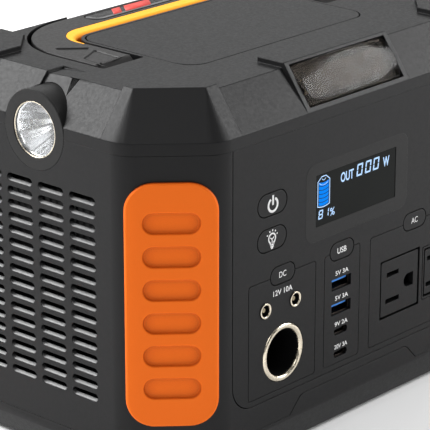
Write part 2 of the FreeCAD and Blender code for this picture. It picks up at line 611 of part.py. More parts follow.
def outlets():
    contacts = []
    for i, (name, (width, height)) in enumerate(OUTLETS.items()):
        x, z = D.outlet_first + i * D.outlet_pitch, D.outlet_z
        outer = rectangle(width, height, 0.8, x, z)
        face = prism(f"outlet_face_{name}", [outer, rectangle(8.6, 2.2, 0.2, x - 5.1, z + 6.35),
                                             rectangle(9.8, 2.2, 0.2, x - 5.1, z - 6.35),
                                             ground_hole(x + 6.7, z)],
                     (0, -HALF_D + 3.2, 0), FRONT, 3.0)
        shell = prism(f"outlet_shell_{name}", [outer, rectangle(width - 2, height - 2, 0.8, x, z)],
                      (0, -HALF_D + D.outlet_depth, 0), FRONT, "outlet_depth - 3.2")
        back = prism(f"outlet_back_{name}", [outer], (0, -HALF_D + D.outlet_depth + 1.5, 0), FRONT, 1.5)
        finish(f"ac_outlet_{name}", join(f"ac_outlet_{name}", face, shell, back))
        for k, (dz, leaf_width) in enumerate(((6.35, 7.6), (-6.35, 8.6))):
            for s in (-1, 1):
                contacts.append(box(f"blade_leaf_{name}_{k}_{s}", (leaf_width, 14.0, 0.6),
                                    (x - 5.1 - leaf_width / 2, -HALF_D + 5.0, z + dz + s * 1.3 - 0.3)))
        for s in (-1, 1):
            contacts.append(box(f"earth_leaf_{name}_{s}", (5.0, 14.0, 0.6),
                                (x + 4.2, -HALF_D + 5.0, z + s * 3.5 - 0.3)))
    finish("ac_contacts", group("ac_contacts", *contacts))


# ---------------------------------------------------------------- lights

def side_barrel(name, side, bore):
    """Round module clamped between housing and top shell, its face a little proud of the side wall."""
    face = side * (HALF_W + D.barrel_proud)
    centre = (face, D.barrel_y, D.barrel_z)
    body = rod(name + "_body", "barrel_radius", "barrel_length", centre, (-side, 0, 0))
    hole = rod(name + "_hole", bore, "barrel_length - 2", (face + side, D.barrel_y, D.barrel_z), (-side, 0, 0))
    blank = cut(name + "_blank", body, hole)
    finish(name, rounded_edges(name, blank, 0.7, lambda middle: abs(middle.x - face) < 0.05))


def flashlight():
    face = -(HALF_W + D.barrel_proud)
    y, z = D.barrel_y, D.barrel_z
    side_barrel("flashlight_bezel", -1, "lens_radius + 0.3")
    finish("flashlight_lens", rod("flashlight_lens", "lens_radius + 0.3", 1.6, (face + 0.6, y, z), (1, 0, 0)))
    outer = cone("reflector_outer", "lens_radius + 0.3", 4.2, 13.5, (face + 2.2, y, z), (1, 0, 0))
    inner = cone("reflector_inner", "lens_radius - 0.5", 3.2, 13.5, (face + 2.2, y, z), (1, 0, 0))
    finish("flashlight_reflector", cut("flashlight_reflector", outer, inner))
    board = rod("led_board", 9.0, 1.2, (face + 16.9, y, z), (1, 0, 0))
    chip = rod("led_chip", 2.6, 2.4, (face + 14.5, y, z), (1, 0, 0))
    finish("flashlight_led", join("flashlight_led", board, chip))


def charge_input():
    side_barrel("input_bezel", 1, 6.3)
    face = HALF_W + D.barrel_proud
    y, z = D.barrel_y, D.barrel_z
    body = rod("input_body", 6.3, 14.0, (face - 1.5, y, z), (-1, 0, 0))
    hole = rod("input_hole", 3.9, 11.0, (face, y, z), (-1, 0, 0))
    pin = rod("input_pin", 0.6, 10.0, (face - 12.0, y, z), (1, 0, 0))
    finish("input_jack", join("input_jack", cut("input_barrel", body, hole), pin))


def area_lamp():
    turn = slope_frame()[1]
    across, along = D.lamp_width, D.lamp_length
    low = D.lamp_up - along / 2
    tray = box("lamp_tray_blank", ("lamp_width", "lamp_length", 4.0), on_slope(-across / 2, low, -D.lamp_depth), turn)
    well = box("lamp_well", ("lamp_width - 3", "lamp_length - 3", 4.0),
               on_slope(-across / 2 + 1.5, low + 1.5, 1.2 - D.lamp_depth), turn)
    finish("lamp_tray", cut("lamp_tray", tray, well))
    strip = box("lamp_strip", (54.0, 6.0, 1.0), on_slope(-27.0, D.lamp_up - 3.0, 1.2 - D.lamp_depth), turn)
    finish("lamp_led_strip", strip)
    lens = box("lamp_lens_blank", ("lamp_width", "lamp_length", 4.6), on_slope(-across / 2, low, 4.0 - D.lamp_depth),
               turn)
    crest = on_slope(0, D.lamp_up, 4.6 + 4.0 - D.lamp_depth)
    normal = turn.multVec(Vector(0, 0, 1))
    finish("lamp_lens", rounded_edges("lamp_lens", lens, 2.0,
                                      lambda middle: (middle - crest).dot(normal) > -0.1))


# ---------------------------------------------------------------- handle

def handle():
    thick = "deck_z - handle_bottom"
    arm, rear, front = D.arm_inner, D.bar_inner, D.arm_front
    step = arm + 1.0
    grip_start = 25.5
    frame = rounded([(-D.arm_outer, front), (-arm, front), (-arm, grip_start), (-step, grip_start),
                     (-step, rear), (step, rear), (step, grip_start), (arm, grip_start), (arm, front),
                     (D.arm_outer, front), (D.arm_outer, D.bar_rear), (-D.arm_outer, D.bar_rear)],
                    [2.0, 2.0, 0, 0, 16.0, 16.0, 0, 0, 2.0, 2.0, 40.0, 40.0])
    blank = prism("handle_blank", [frame], (0, 0, D.handle_bottom), UP, thick)
    ends = []
    for side in (-1, 1):
        x = side * (D.arm_outer + D.arm_inner) / 2
        toe = rounded([(front - 1, 150), (D.pivot_y, 150), (D.pivot_y, D.pivot_z - 6.9),
                       (front, D.pivot_z - 2.0), (front, D.deck_z - 2.4), (front + 3.4, D.deck_z + 0.1),
                       (front + 3.4, 175), (front - 1, 175)], [0, 0, 0, 3.0, 0, 0, 0, 0])
        ends.append(prism(f"arm_toe_{side}", [toe], (x - 15, 0, 0), RIGHT, 30.0))
        ends.append(rod(f"arm_bore_{side}", "pin_radius + pin_play", 40.0,
                        (x - 20, D.pivot_y, D.pivot_z), (1, 0, 0)))
        near, far = side * 81.3, side * 67.0
        ends.append(prism(f"arm_pocket_a_{side}", [rounded([(side * 78.3, 30.3), (far, 19.4), (near, 11.9)], 0.8)],
                          (0, 0, D.deck_z - D.pocket_depth), UP, 5.0))
        ends.append(prism(f"arm_pocket_b_{side}", [rounded([(side * 81.2, 9.0), (side * 67.9, 15.2),
                                                            (side * 69.0, -0.8), (side * 82.6, -2.6)], 0.8)],
                          (0, 0, D.deck_z - D.pocket_depth), UP, 5.0))
    ends.append(prism("inlay_seat", [rectangle(66.0, 11.2, 5.4, 0, 54.2)], (0, 0, D.deck_z - 1.4), UP, 5.0))
    finish("handle_frame", cut("handle_frame", blank, *ends))
    grip_outer = [(-step, grip_start), (-arm, grip_start), (-arm, D.grip_inner), (arm, D.grip_inner),
                  (arm, grip_start), (step, grip_start), (step, rear), (-step, rear)]
    grip = prism("grip_blank", [rounded(grip_outer, [0, 0, 12.9, 12.9, 0, 0, 16.0, 16.0])],
                 (0, 0, D.handle_bottom), UP, thick)
    finish("handle_grip", grip)
    finish("handle_inlay", prism("handle_inlay", [rectangle(65.8, 11.0, 5.3, 0, 54.2)],
                                 (0, 0, D.deck_z - 1.4), UP, 1.6))
    pins = [rod(f"pivot_pin_{side}", "pin_radius", 28.0, (side * 60.4, D.pivot_y, D.pivot_z), (side, 0, 0))
            for side in (-1, 1)]
    finish("handle_pins", group("handle_pins", *pins))


# ---------------------------------------------------------------- inside

def cell_centres():
    return [((i - 3.5) * D.cell_pitch, 34.0 + (k - 1) * D.cell_pitch) for i in range(8) for k in range(3)]


def battery():
    cells = [rod(f"cell_{i}", "cell_radius", "cell_height", (x, y, D.cell_bottom))
             for i, (x, y) in enumerate(cell_centres())]
    finish("battery_cells", group("battery_cells", *cells))
    holes = [circle(D.cell_radius + 0.1, x, y) for x, y in cell_centres()]
    for name, z in (("cell_holder_lower", D.cell_bottom + 2), ("cell_holder_upper", D.cell_bottom + 57)):
        finish(name, prism(name, [rectangle(162.0, 62.0, 3.0, 0, 34.0)] + holes, (0, 0, z), UP, 6.0))
    finish("battery_board", box("battery_board", (150.0, 58.0, 1.6), (-75.0, 5.0, D.cell_bottom + 69)))


def power_electronics():
    finish("inverter_board", box("inverter_board", (156.0, 66.0, 1.6), (-78.0, 4.0, 92.0)))
    core = box("transformer_core", (34.0, 30.0, 26.0), (-20.0, 22.0, 93.6))
    winding = rod("transformer_winding", 17.5, 20.0, (-3.0, 37.0, 96.6))
    finish("transformer", join("transformer", core, winding))
    cans = [rod(f"capacitor_{i}", 8.0, 30.0, (28.0 + 18.0 * (i % 3), 18.0 + 18.0 * (i // 3), 93.6))
            for i in range(6)]
    finish("capacitors", group("capacitors", *cans))
    sinks = []
    for k, y in enumerate((8.0, 64.0)):
        base = box(f"sink_base_{k}", (50.0, 3.0, 32.0), (-74.0, y, 93.6))
        fins = [box(f"sink_fin_{k}_{i}", (1.6, 8.0, 32.0), (-74.0 + i * 6.05, y + (2.0 if k == 0 else -7.0), 93.6))
                for i in range(9)]
        sinks.append(join(f"sink_{k}", base, *fins))
    finish("heat_sinks", group("heat_sinks", *sinks))


def boards():
    finish("control_board", box("control_board", (156.0, 1.6, 52.0), (-78.0, -HALF_D + 12.0, 82.0)))
    switches = []
    for name, (x, z, width, height) in BUTTONS.items():
        switches.append(box(name + "_switch", (6.0, 4.1, 6.0), (x - 3, -HALF_D + 7.9, z - 3)))
    finish("button_switches", group("button_switches", *switches))
    finish("usb_board", box("usb_board", (22.0, 1.6, 46.0), (D.usb_x - 11.0, -HALF_D + 15.0, 31.0)))


def fan():
    x, y, z, size = D.fan_x - D.fan_thick / 2, D.slot_centre_y, D.fan_z, D.fan_size
    frame = prism("fan_square", [rectangle(size, size, 4.0, y, z), circle(size / 2 - 2.0, y, z)],
                  (x, 0, 0), RIGHT, "fan_thick")
    spokes = []
    for i in range(2):
        turn = Rotation(Vector(1, 0, 0), 45 + 90 * i)
        start = Vector(x, y, z) - turn.multVec(Vector(0, size / 2 - 1, 1.5))
        spokes.append(box(f"fan_spoke_{i}", (1.5, "fan_size - 2", 3.0), start, turn))
    hub = rod("fan_motor", 9.0, 2.0, (x, y, z), (1, 0, 0))
    shaft = rod("fan_shaft", 1.5, 11.0, (x, y, z), (1, 0, 0))
    finish("fan_frame", join("fan_frame", frame, *spokes, hub, shaft))
    cup = cut("fan_cup", rod("fan_hub", 11.0, 9.5, (x + 3.0, y, z), (1, 0, 0)),
              rod("fan_bore", "1.5 + pin_play", 12.0, (x + 1.0, y, z), (1, 0, 0)))
    blades = []
    for i in range(7):
        spin = Rotation(Vector(1, 0, 0), i * 360 / 7)
        turn = spin * Rotation(Vector(0, 0, 1), 35)
        root = Vector(x + 7.9, y, z) + spin.multVec(Vector(0, 0, 10.2)) + turn.multVec(Vector(-0.6, -5.5, 0))
        blades.append(box(f"fan_blade_{i}", (1.2, 11.0, 16.0), root, turn))
    finish("fan_rotor", join("fan_rotor", cup, *blades))


# ---------------------------------------------------------------- build and export

for make in (bottom_cover, rubber_feet, case_screws, main_housing, corner_guards, top_shell, top_lid,
             front_panel, display, buttons, car_socket, round_outputs, usb_ports, outlets,
             flashlight, charge_input, area_lamp, handle, battery, power_electronics, boards, fan):
    make()

doc.recompute()
failed = [thing.Label for thing in doc.Objects if {"Invalid", "Error"} & set(thing.State)]
if failed:
    raise RuntimeError(f"objects that did not build: {failed}")
for part in SUBPARTS:
    if part.Shape.isNull() or not part.Shape.isValid() or part.Shape.Volume <= 0:
        raise RuntimeError(f"{part.Label} has no valid shape")

os.makedirs("parts", exist_ok=True)
for part in SUBPARTS:
    part.Shape.exportStep(f"parts/{part.Label}.step")
print(f"{len(SUBPARTS)} sub-parts written")
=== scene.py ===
import json
import math

import bmesh
import bpy
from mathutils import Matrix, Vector


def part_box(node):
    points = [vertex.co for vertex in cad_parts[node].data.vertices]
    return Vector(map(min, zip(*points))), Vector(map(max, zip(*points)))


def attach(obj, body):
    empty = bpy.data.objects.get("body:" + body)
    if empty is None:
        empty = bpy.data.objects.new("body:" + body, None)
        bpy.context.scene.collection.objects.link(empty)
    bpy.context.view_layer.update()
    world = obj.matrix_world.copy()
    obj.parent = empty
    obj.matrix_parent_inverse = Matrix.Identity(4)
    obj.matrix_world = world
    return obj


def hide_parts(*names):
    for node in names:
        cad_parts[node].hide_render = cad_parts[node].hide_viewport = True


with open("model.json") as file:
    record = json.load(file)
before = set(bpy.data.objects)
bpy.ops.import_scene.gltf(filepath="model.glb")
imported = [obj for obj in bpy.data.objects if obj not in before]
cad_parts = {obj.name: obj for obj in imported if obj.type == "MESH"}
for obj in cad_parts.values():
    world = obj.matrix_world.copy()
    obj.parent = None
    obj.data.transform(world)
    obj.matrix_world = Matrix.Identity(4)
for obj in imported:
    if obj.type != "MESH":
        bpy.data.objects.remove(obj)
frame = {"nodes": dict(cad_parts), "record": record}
NODES = frame["nodes"]
BODY_OF = {n: b for b, ns in frame["record"]["behaviour"]["bodies"].items() for n in ns}
SLOT_OF = {p["node"]: p["material_slot"] for p in frame["record"]["subparts"]}
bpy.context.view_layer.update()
MM = 0.001

# Outer shape that the mesh pieces follow, in mm
HALF_WIDTH, HALF_DEPTH, CORNER_LEG = 119.5, 79.0, 29.5
FRONT_Y = -HALF_DEPTH
SEAM_Z = 148.5
SLOPE_FOOT_Z, SLOPE_TOP_Z, SLOPE_RUN = 153.7, 173.4, 14.2

# Height of printed ink above its face, and how deep the display's read-out lies
PRINT, SUNK = 0.012, -0.19


# ---------------------------------------------------------------- nodes and materials

def linear(r, g, b):
    """8-bit display colour to linear."""
    return [((c / 255 + 0.055) / 1.055) ** 2.4 if c > 10 else c / 255 / 12.92 for c in (r, g, b)]


class Graph:
    """Short way to write a node tree."""

    def __init__(self, name):
        self.material = bpy.data.materials.new(name)
        self.material.use_nodes = True
        self.tree = self.material.node_tree
        self.tree.nodes.clear()
        self.out = self.add("ShaderNodeOutputMaterial")
        self.place = self.add("ShaderNodeTexCoord").outputs["Object"]

    def add(self, kind, inputs=None, **settings):
        node = self.tree.nodes.new(kind)
        for key, value in settings.items():
            setattr(node, key, value)
        for key, value in (inputs or {}).items():
            if isinstance(value, bpy.types.NodeSocket):
                self.tree.links.new(value, node.inputs[key])
            else:
                node.inputs[key].default_value = value
        return node

    def noise(self, scale, detail=3.0, rough=0.5, vector=None):
        return self.add("ShaderNodeTexNoise", {"Vector": vector or self.place, "Scale": scale,
                                               "Detail": detail, "Roughness": rough}).outputs["Fac"]

    def cells(self, scale):
        return self.add("ShaderNodeTexVoronoi", {"Vector": self.place, "Scale": scale}).outputs["Distance"]

    def remap(self, value, low, high, a=0.0, b=1.0):
        return self.add("ShaderNodeMapRange", {"Value": value, "From Min": low, "From Max": high,
                                               "To Min": a, "To Max": b}).outputs["Result"]

    def blend(self, fac, a, b):
        colours = [(*c, 1.0) if isinstance(c, (list, tuple)) and len(c) == 3 else c for c in (a, b)]
        node = self.add("ShaderNodeMix", data_type="RGBA")
        for key, value in ((0, fac), (6, colours[0]), (7, colours[1])):
            if isinstance(value, bpy.types.NodeSocket):
                self.tree.links.new(value, node.inputs[key])
            else:
                node.inputs[key].default_value = value
        return node.outputs[2]

    def math(self, operation, a, b=0.0):
        return self.add("ShaderNodeMath", {0: a, 1: b}, operation=operation).outputs[0]

    def bump(self, height, strength, distance, normal=None):
        inputs = {"Height": height, "Strength": strength, "Distance": distance}
        if normal is not None:
            inputs["Normal"] = normal
        return self.add("ShaderNodeBump", inputs).outputs["Normal"]

    def surface(self, **inputs):
        node = self.add("ShaderNodeBsdfPrincipled", {k.replace("_", " "): v for k, v in inputs.items()})
        self.tree.links.new(node.outputs[0], self.out.inputs["Surface"])
        return self.material


def moulded(name, colour, rough=0.55, grain=0.25, bump=0.35, variation=0.10, specular=0.22, edge=0.0003,
            crevice_shade=(1.1, 0.15, 0.6), shade_tone=(2, 2, 2), lower=None):
    """Moulded plastic with spark-eroded grain, softly rounded edges and painted shade in its crevices.

    the crevice shade is how far, in mm, walls darken each other with painted shade and between which amounts
    of open sky, and the shade tone is that painted shade's colour;
    lower is a painted shade colour and the two heights, in mm, between which the lit colour fades in above
    it.
    """
    g = Graph(name)
    base = linear(*colour)
    fine = g.noise(1.0 / (grain * MM), 2.0, 0.6)
    dark, light = [c * (1 - variation) for c in base], [min(c * (1 + variation), 1.0) for c in base]
    mixed = g.blend(g.remap(fine, 0.3, 0.7), dark, light)
    # Painted shade: below the given heights the colour fades to the darker shade colour, under a lit top.
    if lower:
        shade, bottom, top = lower
        height = g.add("ShaderNodeSeparateXYZ", {"Vector": g.place}).outputs["Z"]
        mixed = g.blend(g.remap(height, bottom * MM, top * MM), linear(*shade), mixed)
    # Painted shade: ambient occlusion darkens crevices and recesses towards the shade tone.
    if crevice_shade:
        reach, closed, clear = crevice_shade
        open_sky = g.add("ShaderNodeAmbientOcclusion", {"Distance": reach * MM}, samples=6).outputs["AO"]
        mixed = g.blend(g.remap(open_sky, closed, clear), linear(*shade_tone), mixed)
    roughness = g.remap(g.noise(700.0, 2.0), 0.3, 0.7, rough - 0.04, rough + 0.04)
    soft = g.add("ShaderNodeBevel", {"Radius": edge}, samples=4).outputs["Normal"]
    pits = g.cells(1.0 / (grain * 1.6 * MM))
    height = g.math("ADD", fine, g.math("MULTIPLY", pits, 0.5))
    return g.surface(Base_Color=mixed, Roughness=roughness, Specular_IOR_Level=specular,
                     Normal=g.bump(height, bump, 0.00004, soft))


def metal(name, colour, rough, stretch=(1, 1, 1), bump=0.08, edge=0.0002):
    """Plated or brushed metal with fine lines along one direction."""
    g = Graph(name)
    base = linear(*colour)
    lines = g.add("ShaderNodeMapping", {"Vector": g.place, "Scale": stretch}).outputs["Vector"]
    streak = g.noise(900.0, 2.0, 0.6, lines)
    mixed = g.blend(g.remap(streak, 0.3, 0.7), [c * 0.86 for c in base], base)
    soft = g.add("ShaderNodeBevel", {"Radius": edge}, samples=4).outputs["Normal"]
    roughness = g.remap(streak, 0.3, 0.7, rough * 0.7, rough * 1.3)
    return g.surface(Base_Color=mixed, Metallic=1.0, Roughness=roughness,
                     Normal=g.bump(streak, bump, 0.00002, soft))


def glossy(name, colour, rough, specular):
    """Polished plastic with faint waviness."""
    g = Graph(name)
    base = linear(*colour)
    haze = g.noise(60.0, 3.0)
    mixed = g.blend(haze, [c * 0.8 for c in base], [min(c * 1.2, 1.0) for c in base])
    return g.surface(Base_Color=mixed, Roughness=g.remap(g.noise(400.0), 0.3, 0.7, rough * 0.7, rough * 1.3),
                     Specular_IOR_Level=specular, Normal=g.bump(g.noise(90.0, 1.0), 0.05, 0.0001))


def glass(name, tint, rough, ior=1.49, density=0.0, depth_colour=(120, 112, 104)):
    """Moulded clear part; a smoked one absorbs light through its thickness."""
    g = Graph(name)
    wave = g.noise(140.0, 2.0)
    g.surface(Base_Color=g.blend(wave, [c * 0.97 for c in linear(*tint)], linear(*tint)),
              Roughness=g.remap(wave, 0.3, 0.7, rough * 0.6, rough * 1.4),
              Transmission_Weight=1.0, IOR=ior, Normal=g.bump(wave, 0.02, 0.0001))
    if density:
        inputs = {"Color": (*linear(*depth_colour), 1.0), "Density": density}
        absorb = g.add("ShaderNodeVolumeAbsorption", inputs)
        g.tree.links.new(absorb.outputs[0], g.out.inputs["Volume"])
    return g.material


def printed(name, colour, strength=0.0):
    """Screen-printed ink, or a lit display segment when it has a strength."""
    g = Graph(name)
    base = linear(*colour)
    speck = g.noise(3000.0, 1.0)
    mixed = g.blend(g.remap(speck, 0.35, 0.65), [c * 0.88 for c in base], base)
    if strength:
        return g.surface(Base_Color=(0.004, 0.004, 0.005, 1.0), Roughness=0.6, Specular_IOR_Level=0.0,
                         Emission_Color=mixed, Emission_Strength=strength)
    return g.surface(Base_Color=mixed, Roughness=0.55, Normal=g.bump(speck, 0.2, 0.00002))


def frosted(name, colour, rim):
    """Frosted lamp insert with painted light and shade: light in the middle of the lamp, shading off to a
    dark rim.
    """
    glow_x, glow_up, half_x, half_up = 2.0, 12.6, 29.0, 8.5
    g = Graph(name)
    axes = g.add("ShaderNodeSeparateXYZ", {"Vector": g.place}).outputs
    foot, up, _ = slope_axes()
    along = g.math("ADD", g.math("MULTIPLY", axes["Y"], up.y), g.math("MULTIPLY", axes["Z"], up.z))
    v = g.math("DIVIDE", g.math("SUBTRACT", along, foot.dot(up) + glow_up * MM), half_up * MM)
    u = g.math("DIVIDE", g.math("SUBTRACT", axes["X"], glow_x * MM), half_x * MM)
    spread = g.math("SQRT", g.math("ADD", g.math("MULTIPLY", u, u), g.math("MULTIPLY", v, v)))
    shade_falloff = g.math("ADD", spread, g.math("MULTIPLY", g.math("SUBTRACT", g.noise(70.0), 0.5), 0.7))
    # Painted light and shade: the middle colour fades to the dark rim colour further out.
    return g.surface(Base_Color=g.blend(g.remap(shade_falloff, 0.2, 1.1), linear(*colour), linear(*rim)),
                     Roughness=0.5, Normal=g.bump(g.noise(500.0), 0.3, 0.0001))


def board(name, colour):
    """Circuit board: solder mask with copper traces and pads."""
    g = Graph(name)
    base = linear(*colour)
    grid = g.add("ShaderNodeTexBrick", {"Vector": g.place, "Scale": 90.0, "Mortar Size": 0.03,
                                        "Color1": (*base, 1), "Color2": (*[c * 0.8 for c in base], 1),
                                        "Mortar": (*[min(c * 1.9, 1) for c in base], 1)}).outputs["Color"]
    pads = g.remap(g.cells(420.0), 0.12, 0.16, 1.0, 0.0)
    mixed = g.blend(pads, grid, linear(196, 160, 84))
    return g.surface(Base_Color=mixed, Roughness=0.35, Normal=g.bump(pads, 0.3, 0.0001))


def cell_wrap(name, colour):
    """Shrink-wrapped cells: each one a little different, with a printed band."""
    g = Graph(name)
    base = linear(*colour)
    up = g.add("ShaderNodeSeparateXYZ", {"Vector": g.place}).outputs["Z"]
    band = g.math("GREATER_THAN", g.math("FRACT", g.math("MULTIPLY", up, 24.0)), 0.86)
    tint = g.blend(g.cells(51.0), [c * 0.75 for c in base], base)
    return g.surface(Base_Color=g.blend(band, tint, linear(225, 228, 232)), Roughness=0.3,
                     Coat_Weight=0.4, Normal=g.bump(g.noise(300.0), 0.1, 0.0002))


def slope_axes():
    """Foot of the lamp's slope, its upward direction and its outward direction."""
    up = Vector((0, SLOPE_RUN, SLOPE_TOP_Z - SLOPE_FOOT_Z)).normalized()
    return Vector((0, FRONT_Y * MM, SLOPE_FOOT_Z * MM)), up, Vector((0, -up.z, up.y))


# Moulded plastics carry painted shade in their crevices unless their crevice shade is None.
MATERIALS = {
    "case_black": moulded("case_black", (15, 15, 16), rough=0.46, bump=0.5, specular=0.2),
    "panel_grey": moulded("panel_grey", (17, 17, 18), rough=0.46, bump=0.4, specular=0.18,
                          crevice_shade=(1.8, 0.25, 0.75)),
    # guard_orange: painted dark red-brown shade in the finger dents and at the foot of its rim.
    "guard_orange": moulded("guard_orange", (224, 102, 20), rough=0.55, bump=0.12, variation=0.04,
                            specular=0.12, edge=0.0004, crevice_shade=(5.0, 0.45, 1.0), shade_tone=(122, 34, 4)),
    "handle_black": moulded("handle_black", (27, 26, 26), rough=0.44, bump=0.4),
    # grip_orange: the lighter yellow top and the orange fading in below 170.6 mm are painted light and shade
    # on the grip's rounded edge.
    "grip_orange": moulded("grip_orange", (240, 168, 50), rough=0.5, bump=0.05, variation=0.03,
                           specular=0.08, edge=0.0003, crevice_shade=None, lower=((232, 112, 22), 169.2, 170.6)),
    "gloss_black": glossy("gloss_black", (16, 16, 17), rough=0.14, specular=0.22),
    "window_dark": glossy("window_dark", (17, 19, 18), rough=0.12, specular=0.05),
    "bezel_black": moulded("bezel_black", (30, 30, 30), rough=0.5, bump=0.25, specular=0.18),
    "chrome_ring": metal("chrome_ring", (222, 212, 192), 0.26),
    # Sills: the grey colour and strong specular are painted light on the lit lower walls of the louvre slots.
    "sill_painted_light": moulded("sill_painted_light", (52, 52, 53), rough=0.36, bump=0.2, specular=0.6, crevice_shade=None),
    "inner_black": moulded("inner_black", (12, 12, 13), rough=0.5, bump=0.2, specular=0.1),
    # port_steel: the dark steel colour is painted shade for the shells lying deep inside the port openings.
    "port_steel": metal("port_steel", (58, 52, 48), 0.34, stretch=(1, 0.1, 1)),
    "tongue_blue": moulded("tongue_blue", (66, 138, 222), rough=0.4, bump=0.1, crevice_shade=None),
    "tongue_black": moulded("tongue_black", (18, 18, 18), rough=0.4, bump=0.1),
    "contact_brass": metal("contact_brass", (150, 140, 118), 0.3, stretch=(1, 0.1, 1)),
    "reflector": metal("reflector", (240, 240, 242), 0.20, bump=0.02),
    "lens_clear": glass("lens_clear", (248, 250, 250), 0.01),
    "lens_smoke": glass("lens_smoke", (206, 198, 190), 0.15, ior=1.18, density=130.0),
    "lamp_white": moulded("lamp_white", (46, 43, 40), rough=0.4, bump=0.1, crevice_shade=None),
    # diffuser: painted light in the middle and painted shade towards the rim.
    "diffuser": frosted("diffuser", (132, 116, 104), (30, 28, 26)),
    "led_yellow": moulded("led_yellow", (236, 214, 110), rough=0.5, bump=0.1),
    "foot_rubber": moulded("foot_rubber", (30, 30, 30), rough=0.75, bump=0.5),
    "board_green": board("board_green", (28, 92, 48)),
    "cell_wrap": cell_wrap("cell_wrap", (40, 92, 170)),
    "aluminium": metal("aluminium", (196, 198, 200), 0.28, stretch=(1, 1, 0.1)),
    "transformer_iron": moulded("transformer_iron", (150, 112, 52), rough=0.5, bump=0.5),
    "label_white": printed("label_white", (225, 225, 225)),
    "accent_red": printed("accent_red", (206, 62, 54)),
    "lit_white": printed("lit_white", (180, 212, 250), 1.35),
    "lit_blue": printed("lit_blue", (0, 138, 255), 1.0),
}


# ---------------------------------------------------------------- mesh helpers

def piece(name, mesh, body, material, replaces=(), weighted=True):
    """Put a finished mesh on its body with its material."""
    made = bpy.data.objects.new(name, mesh)
    bpy.context.scene.collection.objects.link(made)
    mesh.materials.clear()
    mesh.materials.append(MATERIALS[material])
    for polygon in mesh.polygons:
        polygon.material_index = 0
        polygon.use_smooth = True
    if weighted:
        mesh.set_sharp_from_angle(angle=math.radians(32))
        modifier = made.modifiers.new("normals", "WEIGHTED_NORMAL")
        modifier.keep_sharp = True
    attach(made, body)
    if replaces:
        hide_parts(*replaces)
    return made


def fresh_mesh(name, bm):
    bmesh.ops.recalc_face_normals(bm, faces=bm.faces)
    mesh = bpy.data.meshes.new(name)
    bm.to_mesh(mesh)
    bm.free()
    return mesh


def softened(node, width_at, angle=30.0, segments=2):
    """Stand in for a CAD node with a copy whose sharp edges are rounded.

    width_at gives the rounding's width at a point of an edge.
    """
    bm = bmesh.new()
    bm.from_mesh(NODES[node].data)
    bmesh.ops.remove_doubles(bm, verts=bm.verts, dist=1e-6)
    bmesh.ops.dissolve_limit(bm, angle_limit=math.radians(0.4), verts=bm.verts, edges=bm.edges)
    layer = bm.edges.layers.float.new("bevel_weight_edge")
    limit = math.radians(angle)
    sharp = [e for e in bm.edges if len(e.link_faces) == 2 and e.calc_face_angle(0.0) > limit]
    widths = {e: width_at((e.verts[0].co + e.verts[1].co) / 2) for e in sharp}
    widest = max(widths.values())
    for e, width in widths.items():
        e[layer] = width / widest
    mesh = bpy.data.meshes.new(node + "_soft")
    bm.to_mesh(mesh)
    bm.free()
    blank = bpy.data.objects.new(node + "_blank", mesh)
    bpy.context.scene.collection.objects.link(blank)
    bevel = blank.modifiers.new("round", "BEVEL")
    bevel.limit_method = "WEIGHT"
    bevel.width = widest
    bevel.segments = segments
    bevel.use_clamp_overlap = False
    bevel.miter_outer = "MITER_ARC"
    bpy.context.view_layer.update()
    final = bpy.data.meshes.new_from_object(blank.evaluated_get(bpy.context.evaluated_depsgraph_get()))
    bpy.data.objects.remove(blank)
    return piece(node + "_moulding", final, BODY_OF[node], SLOT_OF[node], replaces=(node,))


def even(width):
    return lambda point: width * MM


# ---------------------------------------------------------------- case and other mouldings

def shell_rounding(point):
    """The top shell has generous edges, but its seam with the housing is tight."""
    return 0.03 * MM if point.z < (SEAM_Z + 1.5) * MM else 0.35 * MM


def handle_rounding(point):
    """Soft toes at the front ends of the arms."""
    return 1.1 * MM if point.y < -1.0 * MM and point.z > 168 * MM else 0.4 * MM


def housing_rounding(point):
    """The housing's seam stays tight too."""
    return 0.03 * MM if point.z > (SEAM_Z - 1.0) * MM else 0.15 * MM


softened("top_shell", shell_rounding)
softened("main_housing", housing_rounding)
softened("bottom_cover", even(0.2))
softened("handle_frame", handle_rounding, segments=3)
softened("top_lid", even(0.3))
for node in ("power_button", "light_button", "dc_button", "usb_button", "ac_button"):
    softened(node, even(0.12))
for node in ("ac_outlet_left", "ac_outlet_right"):
    softened(node, even(0.15))


# ---------------------------------------------------------------- handle grip

def rows_mesh(name, rows, closed=False):
    bm = bmesh.new()
    skin_rows(bm, rows, closed)
    return fresh_mesh(name, bm)


def skin_rows(bm, rows, closed=False):
    """Skin rings of points, each with as many points; a closed run joins up, an open one gets end caps."""
    verts = [[bm.verts.new(p) for p in row] for row in rows]
    for i in range(len(rows) if closed else len(rows) - 1):
        join(bm, verts[i], verts[(i + 1) % len(rows)])
    if not closed:
        bm.faces.new(verts[0][::-1])
        bm.faces.new(verts[-1])


def join(bm, a, b):
    """Band of quads between two rings of vertices."""
    for i in range(len(a)):
        k = (i + 1) % len(a)
        bm.faces.new((a[i], a[k], b[k], b[i]))


